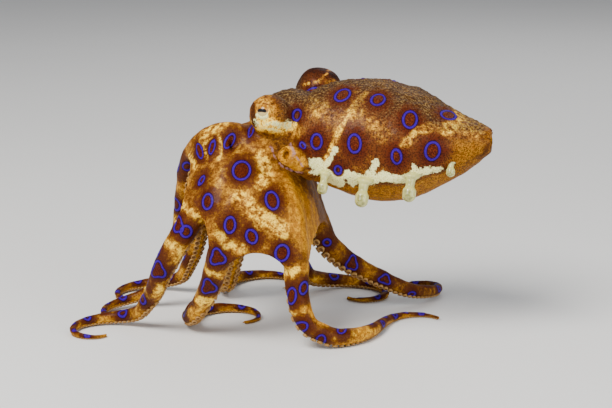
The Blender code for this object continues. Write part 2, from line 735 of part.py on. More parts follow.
def finish(obj, finish_material):
    """Moves the node to its place on the floor's middle, scales it to metres and dresses it."""
    obj.data.transform(Matrix.Scale(MM, 4) @ Matrix.Translation(CENTRE_SHIFT))
    obj.data.materials.clear()
    obj.data.materials.append(finish_material)
    obj.data.shade_smooth()
    obj.data.set_sharp_from_angle(angle=math.radians(38.0))


def main():
    """Builds the whole animal."""
    clear_scene()
    parts = new_collection("blue_ringed_octopus")
    arms = {
        name: Arm(**ARMS[name], inward_target=INWARD_TARGETS[name.split("_")[0]])
        for name in RING_OF_ARMS
    }
    gold = material("skin_gold", SKIN_GOLD, 0.45)
    cream = material("skin_cream", SKIN_CREAM, 0.45)
    brown = material("skin_brown", SKIN_BROWN, 0.45)
    iris = material("eye_gold", EYE_GOLD, 0.1, 1.0)
    finish(build_mantle(parts), brown)
    finish(build_head(parts), cream)
    finish(build_crown(parts), gold)
    quarters = []
    for quarter in WEB_QUARTERS:
        quarters.append(build_web_quarter(quarter, arms, quarters, parts))
    for node in quarters:
        finish(node, gold)
    finish(build_funnel(parts), cream)
    finish(build_eye("eye_left", NEAR_EYE, parts), iris)
    finish(build_eye("eye_right", FAR_EYE, parts), iris)
    for name, arm in arms.items():
        for node in build_arm_lengths(name, arm, parts):
            finish(node, gold)


main()
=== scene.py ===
"""The looks of a blue ringed octopus: one living skin over its mantle, head, web and eight arms.

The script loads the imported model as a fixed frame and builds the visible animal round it. Lengths
are in millimetres in the layout frame of the routes, and settle() brings each finished mesh to the
frame's metres. The animal faces -X, with its left side towards -Y and the floor at Z = 0.
"""

import logging
import math
import random
from collections.abc import Callable
from dataclasses import dataclass, field
from enum import Enum

import bmesh
import bpy
import numpy as np
from mathutils import Matrix, Vector, noise
from mathutils.bvhtree import BVHTree
from mathutils.kdtree import KDTree


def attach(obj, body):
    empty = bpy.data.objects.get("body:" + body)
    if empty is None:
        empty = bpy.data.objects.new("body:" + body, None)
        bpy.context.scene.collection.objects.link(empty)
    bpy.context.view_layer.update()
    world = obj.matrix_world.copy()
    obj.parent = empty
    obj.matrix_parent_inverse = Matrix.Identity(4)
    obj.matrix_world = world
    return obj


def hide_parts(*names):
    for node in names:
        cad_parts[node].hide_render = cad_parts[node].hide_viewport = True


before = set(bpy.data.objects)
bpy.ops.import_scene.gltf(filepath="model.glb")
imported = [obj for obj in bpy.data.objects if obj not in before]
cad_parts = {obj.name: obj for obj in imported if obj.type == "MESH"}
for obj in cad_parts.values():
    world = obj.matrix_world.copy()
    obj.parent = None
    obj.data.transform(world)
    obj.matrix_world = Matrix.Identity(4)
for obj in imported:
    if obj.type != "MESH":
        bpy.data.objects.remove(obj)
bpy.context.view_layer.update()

logging.basicConfig(level=logging.INFO, format="%(message)s")
log = logging.getLogger("octopus")

Array = np.ndarray
EditMesh = bmesh.types.BMesh
Material = bpy.types.Material
Piece = bpy.types.Object
Socket = bpy.types.NodeSocket
Colour = tuple[float, float, float]
Place = tuple[float, float, float]
Pair = tuple[float, float]
Surface = Callable[[float, float], Vector]
TubeRow = tuple[Vector, Vector, Vector, float]

MM = 0.001
WELD = 1e-4
# From the layout frame of the routes to the middle of the floor.
CENTRE_SHIFT = Vector((5.405, -11.54, 0.0))
# How much of the animal one step of the picture shows.
PICTURE_STEP = 0.19
SKIN_NODES = ("mantle", "head", "crown", "funnel", "web_left", "web_rear", "web_right", "web_front")
ARM_LENGTH_NAMES = ("upper", "middle", "tip")


def ramp(low: float, high: float, value: Array) -> Array:
    """Eases from 0 at low to 1 at high; low may be the larger."""
    t = np.clip((value - low) / (high - low), 0.0, 1.0)
    return t * t * (3.0 - 2.0 * t)


def eased(ends: Pair, value: float) -> float:
    """Rises smoothly from 0 at the first end to 1 at the second."""
    t = min(max((value - ends[0]) / (ends[1] - ends[0]), 0.0), 1.0)
    return t * t * (3.0 - 2.0 * t)


def catmull_rom(points: list[Vector], step: float) -> list[Vector]:
    """Samples a smooth curve through the given points.

    Args:
        points: The points that the curve passes.
        step: The rough distance between two samples.

    Returns:
        The samples, the first and last given points among them.
    """
    ends = [points[0] * 2 - points[1], *points, points[-1] * 2 - points[-2]]
    found = []
    for p0, p1, p2, p3 in zip(ends, ends[1:], ends[2:], ends[3:]):
        count = max(2, round((p2 - p1).length / step))
        for i in range(count):
            t = i / count
            found.append(0.5 * (
                2 * p1
                + (p2 - p0) * t
                + (2 * p0 - 5 * p1 + 4 * p2 - p3) * t ** 2
                + (3 * p1 - p0 - 3 * p2 + p3) * t ** 3
            ))
    found.append(points[-1].copy())
    return found


def wrapped(surface: Surface, around: int, along: int) -> EditMesh:
    """Rolls a grid into a closed skin.

    Args:
        surface: Gives the point at a share round the skin and a share along it. It is the same
            point for every share round at the start and at the end.
        around: Faces round the skin.
        along: Faces along the skin.

    Returns:
        The closed mesh, its faces pointing out.
    """
    bm = bmesh.new()
    bmesh.ops.create_grid(bm, x_segments=around, y_segments=along, size=0.5)
    for vert in bm.verts:
        vert.co = surface(vert.co.x + 0.5, vert.co.y + 0.5)
    bmesh.ops.remove_doubles(bm, verts=bm.verts, dist=WELD)
    bmesh.ops.recalc_face_normals(bm, faces=bm.faces)
    return bm


def tube(rows: list[TubeRow], around: int, flat: float = 0.0) -> EditMesh:
    """Rolls a closed skin round a line of stations.

    Args:
        rows: Each station's middle, its two directions square to the line, and its radius, which is
            0 at the start and at the end.
        around: Faces round the skin.
        flat: The share by which the side away from the first direction is pressed in.

    Returns:
        The closed mesh, its faces pointing out.
    """

    def surface(round_share: float, along_share: float) -> Vector:
        """One point of the skin.

        Args:
            round_share: The share round it.
            along_share: The share along it.

        Returns:
            The point.
        """
        place, first, second, radius = rows[round(along_share * (len(rows) - 1))]
        angle = math.tau * round_share
        reach = radius * (1.0 - flat * max(0.0, -math.cos(angle)) ** 2)
        return place + (first * math.cos(angle) + second * math.sin(angle)) * reach

    return wrapped(surface, around, len(rows) - 1)


def ellipsoid(centre: Vector, radii: Vector, yaw: float = 0.0) -> EditMesh:
    """A closed ellipsoid.

    Args:
        centre: Its middle.
        radii: Its three half sizes.
        yaw: Its turn about Z.

    Returns:
        The mesh.
    """
    bm = bmesh.new()
    place = Matrix.Translation(centre) @ Matrix.Rotation(yaw, 4, "Z") @ Matrix.Diagonal((*radii, 1.0))
    bmesh.ops.create_uvsphere(bm, u_segments=48, v_segments=32, radius=1.0, matrix=place)
    return bm


def new_piece(name: str, bm: EditMesh) -> Piece:
    """Makes an object of a mesh.

    Args:
        name: The object's name.
        bm: The mesh, which is freed.

    Returns:
        The object, in the scene.
    """
    mesh = bpy.data.meshes.new(name)
    bm.to_mesh(mesh)
    bm.free()
    piece = bpy.data.objects.new(name, mesh)
    bpy.context.scene.collection.objects.link(piece)
    return piece


def gathered(name: str, meshes: list[EditMesh]) -> Piece:
    """Makes one object of several meshes.

    Args:
        name: The object's name.
        meshes: The meshes, which are freed.

    Returns:
        The object, in the scene.
    """
    whole = bmesh.new()
    for bm in meshes:
        loose = bpy.data.meshes.new("loose")
        bm.to_mesh(loose)
        bm.free()
        whole.from_mesh(loose)
        bpy.data.meshes.remove(loose)
    return new_piece(name, whole)


def with_modifiers_applied(piece: Piece) -> None:
    """Replaces a mesh with what its modifiers make of it.

    Args:
        piece: The object that has them.
    """
    bpy.context.view_layer.update()
    graph = bpy.context.evaluated_depsgraph_get()
    made = bpy.data.meshes.new_from_object(piece.evaluated_get(graph))
    piece.modifiers.clear()
    old = piece.data
    piece.data = made
    bpy.data.meshes.remove(old)


def settle(piece: Piece) -> None:
    """Brings a mesh to the frame's place and metres, its lowest points on the floor.

    Args:
        piece: The object that has it.
    """
    for vert in piece.data.vertices:
        vert.co.z = max(vert.co.z, 0.0)
    piece.data.transform(Matrix.Scale(MM, 4) @ Matrix.Translation(CENTRE_SHIFT))
    piece.data.shade_smooth()


def dress(piece: Piece, material: Material) -> None:
    """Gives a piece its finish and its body.

    Args:
        piece: The piece.
        material: Its finish.
    """
    piece.data.materials.clear()
    piece.data.materials.append(material)
    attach(piece, "root")
    log.info("%s: %d faces", piece.name, len(piece.data.polygons))


def mesh_arrays(mesh: bpy.types.Mesh) -> tuple[Array, Array]:
    """Reads a mesh's points.

    Args:
        mesh: The mesh.

    Returns:
        The points, and the direction that the surface faces at each.
    """
    count = len(mesh.vertices)
    points, normals = np.zeros(count * 3), np.zeros(count * 3)
    mesh.vertices.foreach_get("co", points)
    mesh.vertices.foreach_get("normal", normals)
    return points.reshape(-1, 3), normals.reshape(-1, 3)


def put_values(mesh: bpy.types.Mesh, name: str, values: Array) -> None:
    """Keeps one value for each point of the mesh, for the finish to read."""
    layer = mesh.attributes.new(name, "FLOAT", "POINT")
    layer.data.foreach_set("value", values.astype(np.float32))


def away_from(place: Vector | Place, points: Array) -> Array:
    """The points' distances from a place."""
    return np.linalg.norm(points - np.array(place), axis=1)


@dataclass(frozen=True)
class ViewPoint:
    """The camera's place and the photograph's frame."""

    target: Vector = field(default_factory=lambda: Vector((0.0, 0.0, 24.6)))
    distance: float = 323.0
    elevation: float = math.radians(12.0)
    lens: float = 100.0
    sensor: float = 36.0
    columns: int = 612
    rows: int = 408

    def back(self) -> Vector:
        """The direction from the animal to the camera."""
        return Vector((0.0, -math.cos(self.elevation), math.sin(self.elevation)))

    def place(self) -> Vector:
        """Where the camera stands."""
        return self.target + self.back() * self.distance

    def up(self) -> Vector:
        """The picture's upward direction."""
        return Vector((0.0, math.sin(self.elevation), math.cos(self.elevation)))

    def ray(self, column: float, row: float) -> Vector:
        """The direction from the camera through a picture point.

        Args:
            column: The point's column.
            row: The point's row.

        Returns:
            The direction.
        """
        across = (column - self.columns / 2) / self.columns * self.sensor
        above = (self.rows / 2 - row) / self.columns * self.sensor
        return (Vector((across, 0, 0)) + self.up() * above - self.back() * self.lens).normalized()

    def picture_places(self, points: Array) -> Array:
        """Columns and rows at which the points show.

        Args:
            points: One point in each row.

        Returns:
            A column and a row for each point.
        """
        offset = points - np.array(self.place())
        depth = -offset @ np.array(self.back())
        scale = self.lens / self.sensor * self.columns / depth
        column = self.columns / 2 + offset[:, 0] * scale
        row = self.rows / 2 - (offset @ np.array(self.up())) * scale
        return np.stack((column, row), axis=1)


@dataclass
class ArmRoute:
    """One arm: its route in the air, its curl on the floor and its taper."""

    name: str
    air: tuple[Place, ...]
    first_bend: float
    last_bend: float
    web_end: float
    # The distance from the mouth up to which the photograph shows the arm.
    seen_to: float
    arm_length: float = 71.0
    root_radius: float = 3.2
    tip_radius: float = 0.30
    step: float = 0.5
    longest_ease: float = 8.0
    sucker_row_angle: float = math.radians(27.0)
    # A sucker's radius: a share of the arm's own, and the least that is added to it.
    sucker_share: float = 0.26
    sucker_least: float = 0.10
    sucker_height: float = 0.55
    floor_sink: float = 0.07
    flesh_step: float = 0.6
    flesh_sides: int = 24
    flat_below: float = 0.10
    tangent_reach: float = 0.8
    # The suckers face a point deep under the mouth, and on a steep stretch one by the body's side.
    oral_target: Vector = field(default_factory=lambda: Vector((-8.8, 0.8, -110.0)))
    left_target: Place = (-11.0, 12.0, 0.0)
    right_target: Place = (-8.8, 0.8, 0.0)
    inward_share: float = 0.6
    inward_low: Pair = (4.0, 9.0)
    inward_high: Pair = (28.0, 20.0)
    points: list[Vector] = field(init=False, default_factory=list)
    walk: list[float] = field(init=False, default_factory=list)

    def __post_init__(self) -> None:
        """Walks the route: first the air, then the curl."""
        self.points = catmull_rom([Vector(p) for p in self.air], self.step)
        walked = sum((b - a).length for a, b in zip(self.points, self.points[1:]))
        self.add_curl(walked)
        self.walk = [0.0]
        for a, b in zip(self.points, self.points[1:]):
            self.walk.append(self.walk[-1] + (b - a).length)

    def add_curl(self, walked: float) -> None:
        """Lays the rest of the arm on the floor.

        Args:
            walked: The length of the stretch in the air.
        """
        landing = self.points[-1]
        arriving = (landing - self.points[-2]).normalized()
        angle = math.atan2(arriving.y, arriving.x)
        drop = landing.z - self.floor_height(walked / self.arm_length)
        ease = min(drop / max(-arriving.z, 0.1), self.longest_ease)
        rest = self.arm_length - walked
        count = round(rest / self.step)
        step = rest / count
        place = landing
        for number in range(1, count + 1):
            slide = step * number
            share = number / count
            bend = self.first_bend + (self.last_bend - self.first_bend) * share ** 2
            angle += math.radians(bend) * step
            fall = math.exp(-slide / ease)
            height = self.floor_height((walked + slide) / self.arm_length) + drop * fall
            sideways = math.sqrt(max(0.0, step ** 2 - (height - place.z) ** 2))
            place = Vector((
                place.x + sideways * math.cos(angle),
                place.y + sideways * math.sin(angle),
                height,
            ))
            self.points.append(place)

    @property
    def length(self) -> float:
        """The arm's length along its route."""
        return self.walk[-1]

    def radius_at_share(self, share: float) -> float:
        """The arm's radius at a share of its length."""
        return self.root_radius * (1.0 - share) + self.tip_radius * share

    def sucker_radius(self, share: float) -> float:
        """A sucker's radius at a share of the arm."""
        return self.sucker_share * self.radius_at_share(share) + self.sucker_least

    def floor_height(self, share: float) -> float:
        """The height of the arm's middle where its suckers stand on the floor.

        Args:
            share: The share of the arm's length.

        Returns:
            The height.
        """
        radius, cup = self.radius_at_share(share), self.sucker_radius(share)
        body = (radius + self.sucker_height * cup) * math.cos(self.sucker_row_angle)
        return body + cup * math.sin(self.sucker_row_angle) - self.floor_sink

    def at(self, distance: float) -> Vector:
        """A point of the route.

        Args:
            distance: Its distance from the mouth.

        Returns:
            The point.
        """
        distance = min(max(distance, 0.0), self.length)
        low, high = 0, len(self.walk) - 1
        while high - low > 1:
            middle = (low + high) // 2
            if self.walk[middle] <= distance:
                low = middle
            else:
                high = middle
        t = (distance - self.walk[low]) / (self.walk[high] - self.walk[low])
        return self.points[low].lerp(self.points[high], t)

    def tangent(self, distance: float) -> Vector:
        """The route's direction, away from the mouth."""
        reach = self.tangent_reach
        return (self.at(distance + reach) - self.at(distance - reach)).normalized()

    def oral(self, distance: float) -> Vector:
        """The direction that the suckers face: down on the floor, and inwards where the arm is steep.

        Args:
            distance: The distance from the mouth.

        Returns:
            The direction, square to the route.
        """
        place, along = self.at(distance), self.tangent(distance)
        inward = Vector(self.left_target if self.name.startswith("left") else self.right_target) - place
        inward.z = 0.0
        share = self.inward_share * eased(self.inward_low, place.z) * eased(self.inward_high, place.z)
        towards = (self.oral_target - place).normalized().lerp(inward.normalized(), share)
        return (towards - along * towards.dot(along)).normalized()

    def radius(self, distance: float) -> float:
        """The arm's radius at this distance."""
        return self.radius_at_share(min(distance / self.length, 1.0))

    def outward(self, distance: float, angle: float) -> Vector:
        """A direction square to the arm, turned by the angle from its back."""
        along, back = self.tangent(distance), -self.oral(distance)
        return back * math.cos(angle) + along.cross(back) * math.sin(angle)

    def flesh(self) -> EditMesh:
        """The arm's own tapered body, a little flat below and round at its end.

        Returns:
            The closed body.
        """
        count = round(self.length / self.flesh_step)
        rows = []
        for number in range(count + 1):
            distance = self.length * number / count
            to_end = min(1.0, (self.length - distance) / (2.0 * self.tip_radius))
            close = math.sqrt(max(0.0, 1.0 - (1.0 - to_end) ** 2)) if number else 0.0
            back = -self.oral(distance)
            rows.append((self.at(distance), back, self.tangent(distance).cross(back),
                         self.radius(distance) * close))
        return tube(rows, self.flesh_sides, self.flat_below)


# Each arm's way through the air, its first and last bend on the floor in degrees a millimetre, where
# the web ends on it and how far the photograph shows it.
ARM_ROUTES = (
    ArmRoute("left_1", (
        (-9.0, -1.8, 36.2), (-14.0, -1.8, 37.8), (-18.0, 0.0, 36.7), (-21.0, 3.2, 33.6),
        (-22.7, 6.4, 28.6), (-23.7, 9.0, 22.4), (-25.0, 11.2, 15.6), (-27.2, 13.0, 9.4),
        (-30.6, 14.6, 4.6)), 6.0, 24.0, 16.0, 18.0),
    ArmRoute("left_2", (
        (-8.8, -3.4, 33.6), (-13.7, -7.0, 32.5), (-18.1, -9.0, 27.3), (-21.7, -9.6, 22.6),
        (-24.9, -9.2, 17.6), (-27.3, -7.0, 12.6), (-29.0, -4.0, 8.2), (-31.4, -0.6, 4.2)),
        6.0, 20.0, 18.0, 31.0),
    ArmRoute("left_3", (
        (-8.6, -3.8, 32.2), (-11.9, -8.8, 29.6), (-14.0, -11.9, 24.6), (-15.5, -12.3, 19.0),
        (-17.0, -10.6, 13.8), (-18.6, -7.8, 9.2), (-20.8, -4.4, 4.8)), -4.0, -17.0, 21.0, 31.5),
    ArmRoute("left_4", (
        (-7.0, -2.6, 31.4), (-4.4, -7.4, 28.4), (-2.7, -10.4, 23.4), (-1.9, -11.9, 18.0),
        (-1.7, -12.6, 12.8), (-1.2, -13.2, 8.2), (0.5, -13.6, 4.6), (3.6, -13.2, 2.7)),
        5.5, -17.0, 20.5, 42.0),
    ArmRoute("right_4", (
        (-6.4, 2.4, 31.2), (-1.4, 4.6, 28.4), (1.2, 6.8, 21.8), (3.8, 8.6, 15.6),
        (7.4, 10.6, 11.4), (12.0, 12.6, 8.2), (17.6, 14.9, 5.0)), 2.0, 25.0, 15.5, 45.0),
    ArmRoute("right_3", (
        (-7.2, 4.0, 31.0), (-5.6, 9.2, 28.0), (-4.2, 14.0, 22.6), (-3.4, 18.2, 16.2),
        (-2.4, 22.2, 9.6), (-0.2, 25.8, 4.8)), -4.5, -18.0, 17.0, 0.0),
    ArmRoute("right_2", (
        (-8.6, 4.6, 32.2), (-10.0, 9.8, 29.0), (-11.0, 13.0, 23.6), (-12.6, 15.0, 17.6),
        (-14.4, 17.4, 11.0), (-15.8, 20.6, 5.0)), -3.0, -16.0, 18.0, 0.0),
    ArmRoute("right_1", (
        (-8.8, 3.4, 34.6), (-13.2, 7.2, 34.4), (-17.0, 11.4, 31.0), (-19.6, 15.2, 25.0),
        (-21.2, 18.6, 18.0), (-22.6, 21.8, 11.0), (-25.0, 25.4, 5.0)), 5.0, 20.0, 17.0, 0.0),
)


@dataclass(frozen=True)
class Web:
    """The web between neighbouring arms, and the crown behind the mouth."""

    crown_centre: Vector = field(default_factory=lambda: Vector((-8.8, 0.8, 32.4)))
    crown_radii: Vector = field(default_factory=lambda: Vector((8.8, 8.6, 8.0)))
    mouth_direction: Vector = field(default_factory=lambda: Vector((-0.42, 0.10, -0.90)).normalized())
    lip_radii: Vector = field(default_factory=lambda: Vector((2.6, 2.6, 1.6)))
    mouth_radius: float = 1.3
    mouth_depth: float = 1.6
    thickness: float = 1.0
    lift: float = 0.62
    billow: float = 0.7
    start: float = 5.5
    faces_across: int = 16
    faces_down: int = 22
    edge_roundness: float = 0.62
    # How far the web's edge runs down each arm as a thin skirt, past the arch's own height.
    skirt: float = 5.0
    # How far the free edge is drawn up, from each arm of the ring to the next.
    scallops: tuple[float, ...] = (0.46, 0.44, 0.36, 0.40, 0.42, 0.42, 0.42, 0.42)

    def mouth(self) -> Vector:
        """The middle of the lip round the mouth."""
        way = self.mouth_direction
        return self.crown_centre + Vector([w * r for w, r in zip(way, self.crown_radii)])

    def panel(self, one: ArmRoute, other: ArmRoute, scallop: float) -> EditMesh:
        """The web between two arms, a billowed sheet with a round free edge.

        Args:
            one: The arm on one side.
            other: The arm on the other side.
            scallop: The share of the web that its free edge is drawn up in the middle.

        Returns:
            The closed sheet.
        """
        bm = bmesh.new()
        bmesh.ops.create_grid(bm, x_segments=self.faces_across, y_segments=self.faces_down, size=0.5)
        for vert in bm.verts:
            across, down = vert.co.x + 0.5, vert.co.y + 0.5
            reach = 1.0 - scallop * math.sin(math.pi * across) ** self.edge_roundness
            ends = []
            for arm in (one, other):
                distance = self.start + (arm.web_end + self.skirt - self.start) * down * reach
                ends.append((arm.at(distance), -arm.oral(distance), arm.radius(distance)))
            (place, back, radius), (next_place, next_back, next_radius) = ends
            outward = back.lerp(next_back, across).normalized()
            lift = self.lift * (radius + next_radius) / 2 + self.billow * math.sin(math.pi * across)
            vert.co = place.lerp(next_place, across) + outward * lift
        bmesh.ops.recalc_face_normals(bm, faces=bm.faces)
        bmesh.ops.solidify(bm, geom=bm.faces[:], thickness=self.thickness)
        bmesh.ops.recalc_face_normals(bm, faces=bm.faces)
        return bm

    def flesh(self, arms: tuple[ArmRoute, ...]) -> list[EditMesh]:
        """The crown, its lip and the eight panels.

        Args:
            arms: The eight arms, in their order round the mouth.

        Returns:
            The closed meshes.
        """
        made = [ellipsoid(self.crown_centre, self.crown_radii), ellipsoid(self.mouth(), self.lip_radii)]
        for number, scallop in enumerate(self.scallops):
            made.append(self.panel(arms[number], arms[(number + 1) % len(arms)], scallop))
        return made


@dataclass(frozen=True)
class Mantle:
    """The mantle: a lofted bag from the collar to the blunt tip, with a ridge along each side."""

    collar: Vector = field(default_factory=lambda: Vector((2.2, 0.4, 37.7)))
    tip: Vector = field(default_factory=lambda: Vector((34.2, -9.0, 38.4)))
    bow: float = 1.6
    roll: float = math.radians(10.0)
    collar_yaw: float = math.radians(-27.0)
    tip_yaw: float = math.radians(-9.0)
    belly_fullness: float = 0.86
    ridge_angle: float = math.radians(-22.0)
    ridge_height: float = 0.55
    ridge_width: float = 0.14
    # Where along the axis the blunt end begins to round off, and how far it bulges past that.
    blunt_share: float = 0.972
    end_bulge: float = 0.9
    faces_along: int = 72
    faces_around: int = 96
    end_rows: int = 3
    # Share of the length, half width, rise above the axis and drop below it.
    sections: tuple[tuple[float, float, float, float], ...] = (
        (0.00, 9.4, 9.4, 7.9),
        (0.12, 10.8, 10.3, 9.2),
        (0.26, 12.0, 10.6, 11.0),
        (0.40, 12.4, 10.1, 11.9),
        (0.54, 11.5, 8.5, 11.1),
        (0.68, 9.1, 5.9, 8.9),
        (0.82, 6.1, 3.8, 6.1),
        (0.93, 3.6, 2.5, 3.2),
        (0.985, 2.2, 1.5, 1.4),
        (1.00, 1.5, 1.0, 0.9),
    )

    def section(self, share: float) -> list[float]:
        """Sizes of one section, eased through the given ones.

        Args:
            share: The share of the mantle's length.

        Returns:
            The half width, the rise and the drop.
        """
        rows = self.sections
        share = min(max(share, 0.0), 1.0)
        for low, high in zip(rows, rows[1:]):
            if share <= high[0]:
                break
        before = rows[max(0, rows.index(low) - 1)]
        after = rows[min(len(rows) - 1, rows.index(high) + 1)]
        span = high[0] - low[0]
        t = (share - low[0]) / span
        values = []
        for i in range(1, len(low)):
            slope_low = (high[i] - before[i]) / max(high[0] - before[0], 1e-6) * span
            slope_high = (after[i] - low[i]) / max(after[0] - low[0], 1e-6) * span
            values.append(
                (2 * t ** 3 - 3 * t ** 2 + 1) * low[i]
                + (t ** 3 - 2 * t ** 2 + t) * slope_low
                + (3 * t ** 2 - 2 * t ** 3) * high[i]
                + (t ** 3 - t ** 2) * slope_high
            )
        return values

    def axes(self, share: float) -> tuple[Vector, Vector, Vector]:
        """The axes of one section.

        Args:
            share: The share of the mantle's length.

        Returns:
            The point on the axis, and the near and the up direction.
        """
        along = self.tip - self.collar
        side = Vector((along.y, -along.x, 0.0)).normalized()
        place = self.collar + along * share - side * self.bow * math.sin(math.pi * share)
        yaw = self.collar_yaw + (self.tip_yaw - self.collar_yaw) * share
        flat = Vector((math.sin(yaw), -math.cos(yaw), 0.0))
        near = flat * math.cos(self.roll) - Vector((0, 0, math.sin(self.roll)))
        up = flat * math.sin(self.roll) + Vector((0, 0, math.cos(self.roll)))
        return place, near, up

    def point(self, share: float, angle: float) -> Vector:
        """A point of the surface.

        Args:
            share: The share of the mantle's length.
            angle: The angle round it, 0 on the near side and a right angle on the back.

        Returns:
            The point.
        """
        place, near, up = self.axes(share)
        width, rise, drop = self.section(share)
        across, above = math.cos(angle), math.sin(angle)
        if above < 0:
            across = math.copysign(abs(across) ** self.belly_fullness, across)
        for middle in (self.ridge_angle, math.pi - self.ridge_angle):
            away = (angle - middle + math.pi) % math.tau - math.pi
            swell = math.exp(-((away / self.ridge_width) ** 2)) * math.sin(math.pi * min(1.0, share * 1.1))
            across += math.copysign(self.ridge_height * swell / width, across)
        return place + near * (width * across) + up * ((rise if above > 0 else drop) * above)

    def flesh(self) -> EditMesh:
        """The mantle's closed body.

        Returns:
            The mesh.
        """
        along = self.faces_along
        end_way = (self.tip - self.collar).normalized()

        def surface(round_share: float, along_share: float) -> Vector:
            """One point of the body.

            Args:
                round_share: The share round it.
                along_share: The share of its rows.

            Returns:
                The point.
            """
            row = round(along_share * along)
            share = min(max((row - self.end_rows) / (along - 2 * self.end_rows), 0.0), 1.0)
            close = min(1.0, min(row, along - row) / self.end_rows)
            middle = self.axes(share * self.blunt_share)[0]
            out = self.point(share * self.blunt_share, math.tau * round_share) - middle
            reach = math.sqrt(1.0 - (1.0 - close) ** 2)
            bulge = self.end_bulge * (1.0 - math.sqrt(1.0 - reach ** 2 + 1e-12))
            return middle + out * reach + (end_way * bulge if row > along / 2 else Vector())

        return wrapped(surface, self.faces_around, along)

    def coordinates(self, points: Array) -> tuple[Array, Array, Array]:
        """Where points lie on the mantle.

        Args:
            points: One point in each row.

        Returns:
            For each point the share of the length, the angle, and the distance from the axis as a
            share of the section's own reach.
        """
        along = np.array(self.tip - self.collar)
        share = (points - np.array(self.collar)) @ along / (along @ along)
        stations = [i / 100 for i in range(101)]
        index = np.clip(np.round(share * 100), 0, 100).astype(int)
        place, near, up = (np.array(column)[index] for column in zip(*map(self.axes, stations)))
        sizes = np.array([self.section(s) for s in stations])
        offset = points - place
        width, rise, drop = sizes[index].T
        across = np.sum(offset * near, axis=1) / width
        above = np.sum(offset * up, axis=1)
        above = np.where(above > 0, above / rise, above / drop)
        return share, np.arctan2(above, across), np.hypot(across, above)


@dataclass(frozen=True)
class Eye:
    """One eye: the mound that carries it, the ball and the line of sight."""

    name: str
    mound_centre: Vector
    mound_radii: Vector
    centre: Vector
    sight: Vector
    radius: float = 1.5
    lid_reach: float = 1.22
    lid_thickness: float = 0.36
    lid_forward: float = 0.72
    lid_flatness: float = 0.92
    # The slit pupil, a level bar that sags a little at its ends, below the ball's middle.
    pupil_half_length: float = 0.56
    pupil_half_height: float = 0.27
    pupil_sag: float = 0.10
    pupil_drop: float = 0.05

    def turn(self) -> Matrix:
        """Turns the Z axis to the line of sight, with X level along the pupil.

        Returns:
            The turn.
        """
        forward = self.sight.normalized()
        level = Vector((0, 0, 1)).cross(forward).normalized()
        upward = forward.cross(level)
        return Matrix((level, upward, forward)).transposed().to_4x4()

    def lid(self) -> EditMesh:
        """The raised skin round the eye's opening.

        Returns:
            The closed ring.
        """
        middle = self.centre + self.sight.normalized() * self.lid_forward
        turn = self.turn().to_3x3()

        def surface(round_share: float, along_share: float) -> Vector:
            """One point of the ring.

            Args:
                round_share: The share round the opening.
                along_share: The share round the lid's own thickness.

            Returns:
                The point.
            """
            big, small = math.tau * round_share, math.tau * along_share
            reach = self.lid_reach + self.lid_thickness * math.cos(small)
            spot = Vector((math.cos(big) * reach, math.sin(big) * reach * self.lid_flatness,
                           self.lid_thickness * math.sin(small)))
            return middle + turn @ spot

        return wrapped(surface, 28, 12)

    def ball(self, finish: "EyeFinish") -> Piece:
        """The eyeball, with its level slit pupil as distances on the mesh.

        Args:
            finish: Its finish.

        Returns:
            The piece.
        """
        bm = bmesh.new()
        bmesh.ops.create_uvsphere(bm, u_segments=64, v_segments=48, radius=self.radius)
        piece = new_piece(self.name, bm)
        slit = piece.data.attributes.new("slit", "FLOAT", "POINT")
        out = piece.data.attributes.new("from_sight", "FLOAT", "POINT")
        for vert in piece.data.vertices:
            x, y, z = vert.co
            above = y + self.pupil_drop + self.pupil_sag * (x / 0.85) ** 2
            beyond = max(0.0, abs(x) - self.pupil_half_length)
            front = z > 0
            slit.data[vert.index].value = (
                math.hypot(beyond, above) - self.pupil_half_height if front else self.radius)
            out.data[vert.index].value = max(math.hypot(x, y), 0.75 - 2.0 * y) if front else self.radius
        piece.data.transform(Matrix.Translation(self.centre) @ self.turn())
        settle(piece)
        dress(piece, finish.build())
        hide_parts(self.name)
        return piece


@dataclass(frozen=True)
class Head:
    """The head between the collar and the crown, with an eye on a mound on each side."""

    centre: Vector = field(default_factory=lambda: Vector((-2.2, 1.8, 38.0)))
    radii: Vector = field(default_factory=lambda: Vector((8.6, 8.2, 8.3)))
    yaw: float = math.radians(-32.0)
    near_eye: Eye = field(default_factory=lambda: Eye(
        "eye_left", Vector((-6.6, -4.6, 42.4)), Vector((4.1, 3.8, 3.8)),
        Vector((-7.6, -7.2, 43.6)), Vector((-0.35, -0.90, 0.25))))
    far_eye: Eye = field(default_factory=lambda: Eye(
        "eye_right", Vector((2.6, 9.0, 45.2)), Vector((4.6, 4.2, 4.4)),
        Vector((3.5, 11.8, 46.3)), Vector((0.35, 0.90, 0.20))))

    def flesh(self) -> list[EditMesh]:
        """The head, the mounds and the lids.

        Returns:
            The closed meshes.
        """
        made = [ellipsoid(self.centre, self.radii, self.yaw)]
        for eye in (self.near_eye, self.far_eye):
            made.append(ellipsoid(eye.mound_centre, eye.mound_radii, self.yaw))
            made.append(eye.lid())
        return made

    def folded(self, points: Array) -> Array:
        """Brings points of the far half to the near one, by the head's own mirror.

        Args:
            points: One point in each row.

        Returns:
            The points, those of the near half as they were.
        """
        middle = np.array((self.near_eye.centre + self.far_eye.centre) / 2)
        across = np.array((self.far_eye.centre - self.near_eye.centre).normalized())
        beyond = np.maximum(0.0, (points - middle) @ across)
        return points - 2.0 * beyond[:, None] * across


